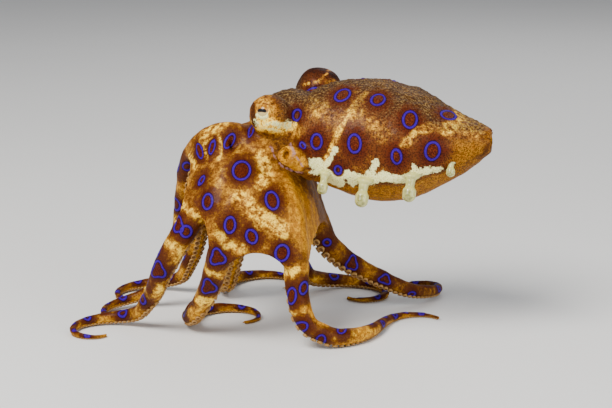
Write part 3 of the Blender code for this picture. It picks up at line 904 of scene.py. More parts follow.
@dataclass(frozen=True)
class Funnel:
    """The funnel, from under the collar to its open rim."""

    route: tuple[Place, ...] = ((1.6, -7.0, 32.9), (-1.5, -10.0, 35.2), (-4.0, -12.3, 36.4))
    base_radius: float = 3.0
    rim_radius: float = 1.9
    bore_radius: float = 1.1
    bore_depth: float = 2.4
    bore_taper: float = 0.25
    bore_rows: int = 5
    step: float = 0.4
    flare: float = 0.8

    def flesh(self) -> EditMesh:
        """The funnel's wall, turned in at its rim and down its bore.

        Returns:
            The closed mesh.
        """
        points = catmull_rom([Vector(p) for p in self.route], self.step)
        forward = (points[-1] - points[-2]).normalized()
        rings = []
        last = len(points) - 1
        for number, place in enumerate(points):
            share = (number / last) ** self.flare
            radius = self.base_radius + (self.rim_radius - self.base_radius) * share
            rings.append((place, radius if number else 0.0))
        middle = (self.rim_radius + self.bore_radius) / 2
        wall = (self.rim_radius - self.bore_radius) / 2
        for turn in (30, 60, 90, 120, 150):
            angle = math.radians(turn)
            rings.append((points[-1] + forward * wall * math.sin(angle), middle + wall * math.cos(angle)))
        for number in range(self.bore_rows + 1):
            place = points[-1] - forward * self.bore_depth * number / self.bore_rows
            rings.append((place, self.bore_radius * (1.0 - self.bore_taper * number / self.bore_rows)))
        rings.append((rings[-1][0], 0.0))
        side = forward.cross(Vector((0, 0, 1))).normalized()
        above = side.cross(forward)
        return tube([(place, side, above, radius) for place, radius in rings], 28)


class Shape(Enum):
    """The outline of a ring mark, by its number of blunt corners."""

    ROUND = 0
    DROP = 1
    TRIANGLE = 3


@dataclass(frozen=True)
class SeenRing:
    """A ring as it shows from the camera.

    The column and row are its middle in the picture, and the width and height are real sizes, in
    millimetres square to the view. The lean turns it, in degrees to the left.
    """

    column: float
    row: float
    width: float
    height: float
    lean: float = 0.0
    shape: Shape = Shape.ROUND


# Rings that show on the mantle's near side.
MANTLE_RINGS = tuple(SeenRing(*row) for row in (
    (297, 115, 1.9, 2.5, -12),
    (313, 90, 2.6, 1.1, 15),
    (342.5, 95, 3.4, 2.4, 32),
    (378, 99.5, 3.0, 2.4, 25),
    (410, 119.5, 2.9, 3.5, -12),
    (448.5, 115, 3.2, 2.1, -8),
    (316.5, 141.5, 2.3, 3.1),
    (354.5, 143.5, 2.6, 3.7, 3),
    (396.5, 156.5, 2.1, 3.0, 8),
    (432.5, 151, 3.0, 3.6, -10),
    (302.5, 145.5, 1.2, 1.7, 28),
    (338, 170, 1.6, 1.9, 15),
))
# Rings that show on the web and the arms.
ARM_RINGS = tuple(SeenRing(*row) for row in (
    (241.5, 170.5, 3.5, 3.8, -15),
    (207.5, 201.5, 2.2, 3.2, -6),
    (272, 200.5, 2.6, 3.7, 15),
    (230, 225, 2.3, 3.3, -5),
    (251.5, 236.5, 2.3, 3.0, 18),
    (282, 253, 2.8, 3.4, -12),
    (178.5, 225.5, 2.0, 3.2, 0, Shape.TRIANGLE),
    (186, 231.5, 2.4, 2.5, -20),
    (158, 270.5, 2.9, 3.4, 0, Shape.TRIANGLE),
    (217.5, 257.5, 3.0, 3.2, 10, Shape.TRIANGLE),
    (208.5, 287, 3.0, 3.0, 12, Shape.TRIANGLE),
    (291.5, 296, 2.0, 3.4, -8),
    (303.5, 289, 1.8, 2.7, -15, Shape.DROP),
    (300.5, 328, 3.2, 2.2, 22, Shape.DROP),
    (320.5, 340.5, 2.0, 2.6, -25),
    (342, 330, 2.0, 1.6, 30, Shape.DROP),
    (251, 131, 1.1, 2.9, -15),
    (229.5, 141, 1.8, 3.4, -28),
    (212, 147, 1.3, 3.2, -12),
    (199.5, 151, 1.5, 3.4, 18),
    (187, 166.5, 2.2, 1.9, 0),
    (201.5, 180.5, 1.1, 2.3, -28),
    (327, 242.5, 1.9, 1.7, 0),
    (352, 263.5, 2.5, 3.2, -10, Shape.TRIANGLE),
    (385, 279.5, 2.7, 2.2, -20, Shape.TRIANGLE),
    (412, 294, 1.8, 1.2, 0),
))


@dataclass(frozen=True)
class SeenPatch:
    """A patch as it shows from the camera: a path of picture points, a real half width and a strength."""

    path: tuple[Pair, ...]
    half_width: float
    strength: float = 1.0

    def nearness(self, places: Array) -> Array:
        """How near picture places are to the path's middle.

        Args:
            places: A column and a row for each point.

        Returns:
            For each point 1 on the middle, falling to 0 past the half width.
        """
        best = np.full(len(places), 1e9)
        for start, end in zip(self.path, self.path[1:]):
            a, b = np.array(start, float), np.array(end, float)
            t = np.clip((places - a) @ (b - a) / ((b - a) @ (b - a)), 0.0, 1.0)
            best = np.minimum(best, np.linalg.norm(places - a - t[:, None] * (b - a), axis=1))
        return ramp(self.half_width * 1.6, self.half_width * 0.4, best * PICTURE_STEP)


def strongest(patches: tuple[SeenPatch, ...], places: Array) -> Array:
    """The strongest patch at each picture place, as its nearness times its strength."""
    return np.max([patch.nearness(places) * patch.strength for patch in patches], axis=0)


# White patches of the mantle: the ridge's root, and the spurs that rise from it.
MANTLE_WHITES = tuple(SeenPatch(*row) for row in (
    (((304, 160), (310, 165), (318, 163), (322, 170), (329, 177), (340, 182)), 1.0, 1.0),
    (((324, 168), (331, 158), (336, 148)), 0.55, 0.80),
    (((352, 182), (360, 178), (368, 180)), 0.9, 0.85),
    (((366, 181), (371, 171), (376, 162)), 0.75, 0.82),
    (((384, 176), (392, 180)), 0.6, 0.72),
    (((404, 180), (413, 176), (414, 166)), 0.6, 0.78),
))
# Creamy lights of the mantle: the streak down from the back, the tip's cap and the soft glows.
MANTLE_LIGHTS = tuple(SeenPatch(*row) for row in (
    (((366, 92), (354, 105), (345, 119), (338, 134), (331, 150), (324, 166)), 0.62, 1.0),
    (((357, 96), (360, 106), (354, 115)), 1.7, 0.62),
    (((446, 128), (458, 123), (470, 126), (482, 132), (488, 138)), 1.5, 1.15),
    (((404, 144), (412, 138), (418, 131), (430, 127)), 1.1, 0.85),
    (((373, 124), (382, 134)), 1.6, 0.62),
    (((312, 106), (322, 109)), 2.0, 0.72),
    (((386, 82), (400, 84), (412, 90)), 2.0, 0.50),
    (((426, 102), (430, 108)), 1.3, 0.45),
    (((296, 128), (300, 134)), 1.2, 0.60),
    (((330, 128), (336, 120)), 1.0, 0.35),
))
# Thin lilac lines along the mantle's lower edge, by the funnel.
LILAC_LINES = (
    SeenPatch(((271, 146), (276, 160), (283, 167), (293, 171), (303, 173)), 0.19),
    SeenPatch(((290, 143), (296, 156), (303, 167)), 0.17),
)
# Patches of the head: white below the eye, cream on its cheek and brow, and the dark and warm ones.
EYE_WHITE = SeenPatch(((259, 115), (265, 116)), 0.65)
HEAD_CHEEK = SeenPatch(((258, 123), (268, 124), (280, 127), (290, 124)), 1.35)
HEAD_BROW = SeenPatch(((254, 106), (257, 99), (265, 96)), 1.2)
HEAD_STRIPE = SeenPatch(((252.5, 104), (253, 114), (254.5, 125)), 0.55)
HEAD_TEMPLE = SeenPatch(((273, 114), (284, 117), (291, 117)), 1.1)
# Pale stripes over the mound of the far eye.
HUMP_STRIPES = (
    SeenPatch(((330, 69), (325, 75), (318, 81)), 0.32),
    SeenPatch(((304, 85), (312, 83), (320, 82)), 0.40),
)
# Creamy lights of the web and the arms, between the rings.
ARM_LIGHTS = tuple(SeenPatch(*row) for row in (
    (((203, 141), (214, 128), (228, 118), (243, 112)), 1.1, 0.70),
    (((219, 160), (221, 148), (219, 136)), 0.5, 0.85),
    (((207, 158), (204, 146), (206, 138)), 0.45, 0.75),
    (((190, 156), (196, 166)), 0.6, 0.75),
    (((236, 152), (244, 140)), 0.5, 0.45),
    (((262, 156), (267, 170), (262, 184)), 1.3, 0.85),
    (((238, 196), (250, 203), (256, 214)), 1.5, 0.75),
    (((222, 172), (218, 184)), 0.7, 0.45),
    (((182, 206), (192, 212), (200, 217)), 1.2, 0.55),
    (((220, 236), (226, 246), (242, 248)), 1.2, 0.75),
    (((166, 244), (176, 252), (182, 256)), 1.3, 0.6),
    (((148, 288), (160, 290)), 1.0, 0.95),
    (((208, 274), (222, 278)), 0.9, 0.75),
    (((200, 300), (212, 302)), 0.8, 0.90),
    (((262, 214), (272, 222), (284, 232)), 1.4, 0.95),
    (((258, 226), (268, 226)), 1.1, 0.70),
    (((281, 266), (289, 274), (296, 268)), 1.0, 0.95),
    (((291, 312), (303, 314)), 0.9, 0.75),
))


@dataclass
class Ring:
    """A ring mark on the skin, with the two directions that its outline is measured in."""

    centre: Vector
    right: Vector
    up: Vector
    normal: Vector
    half_width: float
    half_height: float
    shape: Shape

    def reach(self) -> float:
        """The ring's greatest half size."""
        return max(self.half_width, self.half_height)

    def distances(self, points: Array) -> Array:
        """Signed distances from the ring's line, negative inside.

        Args:
            points: One point in each row.

        Returns:
            A distance for each point.
        """
        offset = points - np.array(self.centre)
        x = offset @ np.array(self.right) / self.half_width
        y = offset @ np.array(self.up) / self.half_height
        away = np.linalg.norm(offset, axis=1) + 1e-6
        rho = np.hypot(x, y) + 1e-6
        if self.shape is not Shape.ROUND:
            depth = 0.20 if self.shape is Shape.TRIANGLE else 0.16
            rho = rho / (1.0 + depth * np.cos(self.shape.value * (np.arctan2(y, x) - math.pi / 2)))
        return away * (1.0 - 1.0 / rho)


@dataclass
class Spots:
    """The skin's points, with what its markings need to know of each."""

    points: Array
    normals: Array
    # On the mantle: the share of its length, the angle round it, and the share of its reach.
    share: Array
    angle: Array
    reach: Array
    # On the nearest arm: its number, the distance along it, the angle from its back, and its back.
    arm: Array
    distance: Array
    around: Array
    back: Array
    # In the picture: the column and the row, and how squarely the skin faces the camera.
    places: Array
    turned: Array

    def seen(self) -> Array:
        """How well the camera sees the skin at each point."""
        return ramp(-0.05, 0.25, self.turned)


@dataclass
class Tones:
    """The broad tones of one part of the body at every point of the skin, as shares."""

    dark: Array
    gold: Array
    light: Array
    pale: Array | float = 0.0


@dataclass(frozen=True)
class Relief:
    """One layer of the skin's relief, its pitch in waves a millimetre."""

    height: float
    pitch: float

    def at(self, spot: Vector) -> float:
        """Its rise or fall at a place."""
        return noise.noise(spot * self.pitch) * self.height


@dataclass
class Skin:
    """The one skin over all the flesh, with its relief and its markings."""

    view: ViewPoint
    mantle: Mantle
    head: Head
    web: Web
    funnel: Funnel
    arms: tuple[ArmRoute, ...]
    voxel: float = 0.335
    most_triangles: int = 196_000
    # Passes of easing over the whole skin, the neck and the root of the arms, and the room round
    # each eye that the last two leave alone.
    all_passes: int = 2
    neck_passes: int = 24
    root_passes: int = 14
    eye_room: float = 3.2
    # The relief: folds all over, and pebbles with a grain where the skin is rough.
    slow_fold: Relief = Relief(0.14, 0.42)
    quick_fold: Relief = Relief(0.05, 1.1)
    pebble_grain: Relief = Relief(0.10, 2.3)
    pebble_height: float = 0.42
    pebble_pitch: float = 0.95
    pebble_radius: float = 0.55
    # The rings: the width of the line, how far round a ring its halo reaches, how far off its plane
    # the skin may lie there, and the value of skin that is far from any.
    line_width: float = 0.42
    halo_reach: float = 4.0
    plane_room: float = 0.7
    plane_slope: float = 0.62
    ring_far: float = 6.0
    # Rings of unseen sides: how far above its rough place the skin is looked for, how far down, and
    # the room between them.
    look_from: float = 3.0
    look_length: float = 4.5
    mantle_room: float = 1.2
    mantle_seed: int = 11
    arm_room: float = 0.45
    arm_seed: int = 29
    # The hidden rings on an arm: the first, the room at the tip, and the radius that carries pairs.
    first_ring: float = 9.0
    tip_room: float = 3.0
    pair_radius: float = 1.95
    # The painted ridge: its angle on the mantle, the size and number of its waves, in degrees and
    # in radians along it, and the mantle's radius there.
    ridge_side: float = -19.6
    ridge_wave: float = 2.0
    ridge_waves: float = 31.0
    ridge_radius: float = 11.0
    # The head's skin ends past this place, towards the arms.
    head_front: Place = (-6.0, 0.0, 36.3)
    head_way: Place = (-0.80, 0.05, -0.60)
    # The arm that stands below the funnel, and the first of those on the far side; the far arms get
    # painted shade, the first one most.
    trunk_arm: int = 3
    far_arm: int = 4

    def build(self) -> Piece:
        """Joins the flesh, fuses it and gives it its form.

        Returns:
            The skin, unpainted.
        """
        meshes = [self.mantle.flesh(), *self.head.flesh(), *self.web.flesh(self.arms), self.funnel.flesh()]
        piece = gathered("skin", meshes + [arm.flesh() for arm in self.arms])
        remesh = piece.modifiers.new("fuse", "REMESH")
        remesh.mode = "VOXEL"
        remesh.voxel_size = self.voxel
        with_modifiers_applied(piece)
        self.drop_scraps(piece)
        self.ease_joins(piece)
        self.press_mouth(piece)
        self.raise_relief(piece)
        self.thin_out(piece)
        return piece

    def drop_scraps(self, piece: Piece) -> None:
        """Keeps the fused skin's one outer surface, and drops any small hollow sealed inside it.

        Args:
            piece: The skin.
        """
        bm = bmesh.new()
        bm.from_mesh(piece.data)
        met: set[bmesh.types.BMVert] = set()
        shells = []
        for first in bm.verts:
            if first in met:
                continue
            met.add(first)
            shell = [first]
            for vert in shell:
                others = [edge.other_vert(vert) for edge in vert.link_edges]
                fresh = [other for other in others if other not in met]
                met.update(fresh)
                shell.extend(fresh)
            shells.append(shell)
        shells.sort(key=len)
        scraps = [vert for shell in shells[:-1] for vert in shell]
        log.info("the skin keeps one surface and drops %d, of %d points", len(shells) - 1, len(scraps))
        bmesh.ops.delete(bm, geom=scraps, context="VERTS")
        bm.to_mesh(piece.data)
        bm.free()

    def thin_out(self, piece: Piece) -> None:
        """Thins the skin where it is flattest, to the triangles that one piece may have.

        Args:
            piece: The skin.
        """
        triangles = sum(len(face.vertices) - 2 for face in piece.data.polygons)
        thin = piece.modifiers.new("thin", "DECIMATE")
        thin.ratio = min(1.0, self.most_triangles / triangles)
        with_modifiers_applied(piece)
        log.info("the skin is thinned from %d triangles to %d faces", triangles, len(piece.data.polygons))

    def ease_joins(self, piece: Piece) -> None:
        """Smooths the skin, most where one form runs into the next.

        Args:
            piece: The skin.
        """
        bm = bmesh.new()
        bm.from_mesh(piece.data)
        points = np.array([v.co for v in bm.verts])
        share, angle, _ = self.mantle.coordinates(points)
        neck = (np.abs(share + 0.01) < 0.10) & (np.sin(angle) > -0.15)
        crown = np.linalg.norm((points - np.array(self.web.crown_centre)) / (15, 15, 12), axis=1) < 1.0
        root = crown & (points[:, 2] > 25.0)
        eyes = np.zeros(len(points), bool)
        for eye in (self.head.near_eye, self.head.far_eye):
            eyes |= away_from(eye.centre, points) < self.eye_room
        verts = np.array(bm.verts[:], dtype=object)
        passes = ((np.ones(len(points), bool), self.all_passes), (neck & ~eyes, self.neck_passes),
                  (root & ~eyes, self.root_passes))
        for chosen, count in passes:
            group = list(verts[chosen])
            for _ in range(count):
                bmesh.ops.smooth_vert(bm, verts=group, factor=0.5, use_axis_x=True,
                                      use_axis_y=True, use_axis_z=True)
        bm.to_mesh(piece.data)
        bm.free()

    def press_mouth(self, piece: Piece) -> None:
        """Presses the mouth's pit into the middle of its lip.

        Args:
            piece: The skin.
        """
        middle, way = self.web.mouth(), self.web.mouth_direction
        for vert in piece.data.vertices:
            offset = vert.co - middle
            aside = (offset - way * offset.dot(way)).length
            if aside < self.web.mouth_radius and offset.dot(way) > -1.0:
                depth = (1.0 - (aside / self.web.mouth_radius) ** 2) ** 0.5
                vert.co = vert.co - way * self.web.mouth_depth * depth

    def raise_relief(self, piece: Piece) -> None:
        """Raises the skin's grain: pebbles on the back and the head, soft folds on the arms.

        Args:
            piece: The skin.
        """
        mesh = piece.data
        points, normals = mesh_arrays(mesh)
        rough = self.roughness(points)
        put_values(mesh, "rough", rough)
        thick = np.clip(points[:, 2] / 6.0, 0.25, 1.0)
        for index, vert in enumerate(mesh.vertices):
            spot = vert.co
            soft = self.slow_fold.at(spot) + self.quick_fold.at(spot)
            pebble = 0.0
            if rough[index] > 0.02:
                nearest = noise.voronoi(spot * self.pebble_pitch)[0][0]
                pebble = self.pebble_height * max(0.0, self.pebble_radius - nearest)
                pebble = (pebble + self.pebble_grain.at(spot)) * rough[index]
            lift = soft * thick[index] + pebble
            vert.co = vert.co + Vector(normals[index]) * lift

    def roughness(self, points: Array) -> Array:
        """How rough the skin is: most on the head's top and along the mantle's back.

        Args:
            points: The skin's points.

        Returns:
            A share for each.
        """
        share, angle, reach = self.mantle.coordinates(points)
        on_mantle = ramp(-0.08, 0.02, share) * ramp(1.35, 1.15, reach)
        above = np.sin(angle)
        upper = (0.35 + 0.65 * ramp(0.62, 0.97, above)) * ramp(-0.2, 0.5, above)
        head_offset = (points - np.array(self.head.centre)) / (11.0, 11.0, 12.0)
        on_head = ramp(1.15, 0.85, np.linalg.norm(head_offset, axis=1))
        rough = np.maximum(upper * on_mantle, on_head * ramp(39.5, 44.5, points[:, 2]))
        for eye in (self.head.near_eye, self.head.far_eye):
            rough *= ramp(1.9, 2.8, away_from(eye.centre, points))
        return rough * ramp(3.6, 5.0, away_from(self.head.far_eye.mound_centre, points))

    def tree(self, piece: Piece) -> BVHTree:
        """Makes a search tree of the skin's faces.

        Args:
            piece: The skin.

        Returns:
            The tree.
        """
        bm = bmesh.new()
        bm.from_mesh(piece.data)
        found = BVHTree.FromBMesh(bm)
        bm.free()
        return found

    def rings(self, tree: BVHTree) -> list[Ring]:
        """Every ring: those that show from the camera, and those of the sides that it doesn't see.

        Args:
            tree: The skin's faces.

        Returns:
            The rings, those of the mantle's near side first.
        """
        eye = self.view.place()
        right, up = Vector((1, 0, 0)), self.view.up()
        found = []
        for seen in MANTLE_RINGS + ARM_RINGS:
            hit, normal, _, _ = tree.ray_cast(eye, self.view.ray(seen.column, seen.row))
            if hit is None:
                log.info("the ring at %s, %s misses the skin", seen.column, seen.row)
                continue
            lean = math.radians(seen.lean)
            found.append(Ring(
                hit, right * math.cos(lean) + up * math.sin(lean),
                up * math.cos(lean) - right * math.sin(lean), normal,
                (seen.width - self.line_width) / 2, (seen.height - self.line_width) / 2, seen.shape))
        seen_count = len(found)
        self.add_far_mantle_rings(tree, found)
        self.add_hidden_arm_rings(tree, found)
        log.info("rings: %d seen, %d in all", seen_count, len(found))
        return found

    def add_ring(self, tree: BVHTree, found: list[Ring], spot: Vector, outward: Vector, upward: Vector,
                 size: Pair, room: float, anywhere: bool = False) -> None:
        """Adds a ring on the skin by the spot, where the camera sees none and there is room.

        Args:
            tree: The skin's faces.
            found: The rings so far, which this one joins.
            spot: The rough place.
            outward: The rough direction that the skin faces there.
            upward: The direction of the ring's height.
            size: Its half width and half height.
            room: The least gap to any other ring.
            anywhere: Whether the camera may see it too.
        """
        hit, normal, _, _ = tree.ray_cast(spot + outward * self.look_from, -outward, self.look_length)
        if hit is None or normal.dot(outward) < 0.5:
            return
        to_camera = (self.view.place() - hit).normalized()
        if normal.dot(to_camera) > 0.05 and not anywhere:
            blocked = tree.ray_cast(hit + normal * 0.4, to_camera)[0]
            if blocked is None:
                return
        reach = max(size)
        for other in found:
            if (other.centre - hit).length < other.reach() + reach + room:
                if other.normal.dot(normal) > -0.3:
                    return
        up = (upward - normal * upward.dot(normal)).normalized()
        found.append(Ring(hit, up.cross(normal), up, normal, *size, Shape.ROUND))

    def add_far_mantle_rings(self, tree: BVHTree, found: list[Ring]) -> None:
        """Repeats the near side's rings on the mantle's far side, each a little moved.

        Args:
            tree: The skin's faces.
            found: The rings so far, which the new ones join.
        """
        vary = random.Random(self.mantle_seed)
        near = found[:len(MANTLE_RINGS)]
        shares, angles, _ = self.mantle.coordinates(np.array([ring.centre for ring in near]))
        for ring, share, angle in zip(near, shares, angles):
            share += vary.uniform(-0.02, 0.02)
            angle = math.pi - angle + vary.uniform(-0.08, 0.08)
            share = min(max(share, 0.02), 0.97)
            spot = self.mantle.point(share, angle)
            outward = (spot - self.mantle.axes(share)[0]).normalized()
            size = (1.35 + vary.uniform(-0.2, 0.15), 1.55 + vary.uniform(-0.2, 0.2))
            small = min(1.0, ring.reach() / 1.3)
            self.add_ring(tree, found, spot, outward, Vector((0.2, 0, 1)),
                          (size[0] * small, size[1] * small), self.mantle_room)

    def add_hidden_arm_rings(self, tree: BVHTree, found: list[Ring]) -> None:
        """Sets rings in staggered pairs down the back of each arm.

        Args:
            tree: The skin's faces.
            found: The rings so far, which the new ones join.
        """
        vary = random.Random(self.arm_seed)
        for arm in self.arms:
            distance, number = self.first_ring, 0
            while distance < arm.length - self.tip_room:
                radius = arm.radius(distance)
                half = 0.46 * radius + 0.18
                turn = 0.85 if radius > 1.0 else 0.55
                angles = (turn, -turn)
                if radius < self.pair_radius:
                    angles = (turn,) if number % 2 else (-turn,)
                for side, angle in enumerate(angles):
                    where = distance + (0.9 * half if side else 0.0)
                    way = arm.outward(where, angle + vary.uniform(-0.12, 0.12))
                    spot = arm.at(where) + way * arm.radius(where)
                    size = (half * vary.uniform(0.8, 0.95), half * vary.uniform(1.0, 1.2))
                    self.add_ring(tree, found, spot, way, arm.tangent(where), size, self.arm_room,
                                  where > arm.seen_to + 1.5)
                distance += 4.4 * half + 2.6 if len(angles) > 1 else 2.5 * half + 2.2
                number += 1

    def paint(self, piece: Piece) -> None:
        """Lays the rings and the tones on the skin as values at its points.

        Args:
            piece: The skin.
        """
        mesh = piece.data
        points, normals = mesh_arrays(mesh)
        layers = [np.full(len(points), self.ring_far), np.full(len(points), self.ring_far)]
        first_placed: list[Ring] = []
        rings = self.rings(self.tree(piece))
        for ring in rings:
            crowded = any((ring.centre - other.centre).length < ring.reach() + other.reach() + 1.0
                          for other in first_placed)
            if not crowded:
                first_placed.append(ring)
            layer = layers[1 if crowded else 0]
            away = away_from(ring.centre, points)
            off_plane = np.abs((points - np.array(ring.centre)) @ np.array(ring.normal))
            near = (away < ring.reach() + self.halo_reach) & (normals @ np.array(ring.normal) > -0.1)
            near &= off_plane < self.plane_room + self.plane_slope * away
            chosen = np.nonzero(near)[0]
            layer[chosen] = np.minimum(layer[chosen], ring.distances(points[chosen]))
        put_values(mesh, "ring_one", layers[0])
        put_values(mesh, "ring_two", layers[1])
        spots = Spots(points, normals, *self.mantle.coordinates(points), *self.arm_places(points),
                      self.view.picture_places(points), normals @ np.array(self.view.back()))
        for name, values in self.tones(spots, rings).items():
            put_values(mesh, name, values)

    def tones(self, spots: Spots, rings: list[Ring]) -> dict[str, Array]:
        """The skin's broad tones: how dark, golden, pale, light and grainy it is.

        Args:
            spots: The skin's points.
            rings: The rings on it.

        Returns:
            Shares for each tone's name.
        """
        on_mantle = ramp(-0.035, 0.0, spots.share) * ramp(1.30, 1.12, spots.reach)
        past_head = (spots.points - np.array(self.head_front)) @ np.array(self.head_way)
        on_head = (1.0 - on_mantle) * ramp(0.6, -0.4, past_head)
        on_arms = 1.0 - np.clip(on_mantle + on_head, 0.0, 1.0)
        parts = ((on_mantle, self.mantle_tones(spots)), (on_head, self.head_tones(spots)),
                 (on_arms, self.arm_tones(spots, rings)))
        funnel, bore, lilac = self.funnel_marks(spots, on_mantle)
        dark = sum(share * tones.dark for share, tones in parts)
        gold = sum(share * tones.gold for share, tones in parts)
        pale = sum(share * tones.pale for share, tones in parts)
        light = sum(share * tones.light for share, tones in parts)
        grain = np.maximum(on_mantle, on_head * ramp(36.0, 42.0, spots.points[:, 2]))
        return {
            "dark": np.clip(dark * (1.0 - funnel) + bore, 0, 1),
            "lilac": np.clip(lilac, 0, 1),
            "gold": np.clip(np.maximum(gold, funnel), 0, 1),
            "pale": np.clip(pale * (1.0 - 0.8 * funnel), 0, 1),
            "light": np.clip(light, 0, 1.5),
            "grain": np.clip(grain, 0, 1),
        }

    def mantle_tones(self, spots: Spots) -> Tones:
        """The mantle's tones: a pale ridge, white spurs, creamy lights, a golden edge and tip.

        Args:
            spots: The skin's points.

        Returns:
            The tones, those of the far side the near one's over again.
        """
        side = np.where(np.cos(spots.angle) > 0, spots.angle, math.pi - spots.angle)
        side = np.degrees((side + math.pi) % math.tau - math.pi)
        places = self.view.picture_places(self.mantle_folded(spots))
        under = ramp(-22.0, -34.0, side)
        blunt = ramp(0.74, 0.86, spots.share) * ramp(34.0, 16.0, side)
        dark = 0.48 + 0.18 * ramp(30.0, 60.0, side) + 0.12 * blunt + 0.08 * under
        wave = self.ridge_wave * np.sin(spots.share * self.ridge_waves)
        from_ridge = np.radians(np.abs(side - self.ridge_side - wave)) * self.ridge_radius
        pale = 0.84 * ramp(1.9, 0.1, from_ridge) * ramp(0.84, 0.70, spots.share)
        return Tones(dark, np.maximum(under * 0.85, blunt), strongest(MANTLE_LIGHTS, places),
                     np.maximum(pale, strongest(MANTLE_WHITES, places)))

    def head_tones(self, spots: Spots) -> Tones:
        """The head's tones: a creamy cheek and brow, pale lid rims and the far eye's dark mound.

        Args:
            spots: The skin's points.

        Returns:
            The tones.
        """
        points, far_eye = spots.points, self.head.far_eye
        places = self.view.picture_places(self.head.folded(points))
        near_half = ramp(-0.15, 0.15, spots.turned) * ramp(2.6, 1.4, points[:, 1])
        kept = np.maximum(ramp(6.4, 4.6, away_from(far_eye.centre, points)), near_half)
        cheek = HEAD_CHEEK.nearness(places) * kept
        temple = HEAD_TEMPLE.nearness(places) * near_half
        streak = HEAD_STRIPE.nearness(places) * near_half
        gold = 0.15 + 0.6 * temple
        pale = np.maximum(0.9 * kept * EYE_WHITE.nearness(places), 0.50 * cheek)
        dark = 0.46 + 0.20 * ramp(42.0, 46.0, points[:, 2])
        dark = np.maximum(dark, 0.75 * temple) * (1.0 - 0.8 * cheek)
        light = np.maximum(1.6 * cheek, 0.7 * kept * HEAD_BROW.nearness(places)) * (1.0 - temple)
        light = np.maximum(light, strongest(MANTLE_LIGHTS, places) * kept)
        for eye in (self.head.near_eye, far_eye):
            rim = ramp(2.9, 2.0, away_from(eye.centre, points))
            light = np.maximum(light, rim * 0.62)
            dark = dark * (1.0 - 0.4 * rim)
        dark = np.maximum(dark, 0.95 * streak)
        light = light * (1.0 - streak)
        mound = ramp(5.4, 4.4, away_from(far_eye.mound_centre, points))
        mound = mound * ramp(11.0, 8.5, points[:, 1])
        light = np.maximum(light * (1.0 - mound), 1.25 * mound * strongest(HUMP_STRIPES, spots.places))
        return Tones(np.maximum(dark, mound * 0.92), gold * (1.0 - mound), light, pale * (1.0 - mound))

    def arm_tones(self, spots: Spots, rings: list[Ring]) -> Tones:
        """The arms' and the web's tones: golden undersides and ends, dark bands, creamy lights, and
        painted shade on the far arms.

        Args:
            spots: The skin's points.
            rings: The rings on it.

        Returns:
            The tones.
        """
        shaded_far_arm = spots.arm == self.far_arm
        along = spots.distance / self.arms[0].arm_length
        belly = ramp(-0.05, -0.6, np.sum(spots.normals * spots.back, axis=1))
        band = self.bands(spots, rings)
        trunk_gold = 0.85 * ramp(-5.2, -2.8, spots.points[:, 0])
        gold = 0.18 + 0.45 * belly + 0.45 * ramp(0.45, 0.75, along)
        gold = np.maximum(gold, np.where(spots.arm == self.trunk_arm, trunk_gold, 0.0))
        gold = np.maximum(gold, np.where(shaded_far_arm, 0.55, 0.0)) * (1.0 - 0.6 * band)
        # The first far arm is darkened as painted shade, over its own dark brown.
        dark = np.where(shaded_far_arm, 0.42, 0.05) + 0.27 * ramp(0.32, 0.13, along) + 0.62 * band
        light = 0.30 * ramp(0.26, 0.34, along) * ramp(0.85, 0.6, along)
        # The far arms keep less of their cream: painted shade.
        light = light * (1.0 - belly) * np.where(spots.arm < self.far_arm, 1.0, 0.4)
        seen = spots.seen() * (spots.arm < self.far_arm)
        light = np.maximum(light, strongest(ARM_LIGHTS, spots.places) * seen) * (1.0 - band)
        return Tones(dark, gold, light)

    def funnel_marks(self, spots: Spots, on_mantle: Array) -> tuple[Array, ...]:
        """The funnel's marks, round its rim and down its bore.

        Args:
            spots: The skin's points.
            on_mantle: The share of each point that is the mantle's.

        Returns:
            For each point the share of the funnel's gold, of its dark bore and of lilac.
        """
        rim, before = (np.array(place) for place in self.funnel.route[:-3:-1])
        way = (rim - before) / np.linalg.norm(rim - before)
        funnel = ramp(5.4, 3.6, away_from(rim, spots.points)) * ramp(0.35, 0.10, on_mantle)
        height = (spots.points - rim) @ way
        aside = np.linalg.norm(spots.points - rim - height[:, None] * way, axis=1)
        near_rim = funnel * ramp(-1.6, -0.4, height)
        bore = ramp(0.30, 0.05, np.abs(aside - 1.25)) * 0.55
        bore = np.maximum(bore, ramp(0.95, 0.6, aside)) * near_rim
        lilac = 0.8 * ramp(0.42, 0.12, np.abs(aside - self.funnel.rim_radius - 0.05)) * near_rim
        return funnel, bore, np.maximum(lilac, strongest(LILAC_LINES, spots.places) * spots.seen())

    def bands(self, spots: Spots, rings: list[Ring]) -> Array:
        """How near points are to the dark bands that cross each arm at its rings.

        Args:
            spots: The skin's points.
            rings: The rings.

        Returns:
            A share for each point.
        """
        band = np.zeros(len(spots.points))
        places = np.array([ring.centre for ring in rings])
        for ring, number, middle, turn, _ in zip(rings, *self.arm_places(places)):
            arm, reach = self.arms[number], ring.reach()
            if (ring.centre - arm.at(middle)).length > 1.6 * arm.radius(middle) + 0.4:
                continue
            near = np.nonzero((spots.arm == number) & (np.abs(spots.distance - middle) < 4.5))[0]
            fade = 0.5 + 0.5 * arm.radius(middle)
            value = ramp(reach + fade, reach * 0.7, np.abs(spots.distance[near] - middle))
            value *= ramp(-0.9, 0.2, np.cos(spots.around[near] - turn))
            band[near] = np.maximum(band[near], value)
        clear = np.array([arm.web_end for arm in self.arms])[spots.arm]
        return band * ramp(-5.0, 0.0, spots.distance - clear)

    def mantle_folded(self, spots: Spots) -> Array:
        """Brings points of the mantle's far half to the near one.

        Args:
            spots: The skin's points.

        Returns:
            The points, those of the near half as they were.
        """
        moved = spots.points.copy()
        for index in np.nonzero((np.cos(spots.angle) < 0) & (spots.share > -0.05))[0]:
            share = min(max(spots.share[index], 0.0), 1.0)
            moved[index] = self.mantle.point(share, math.pi - spots.angle[index])
        return moved

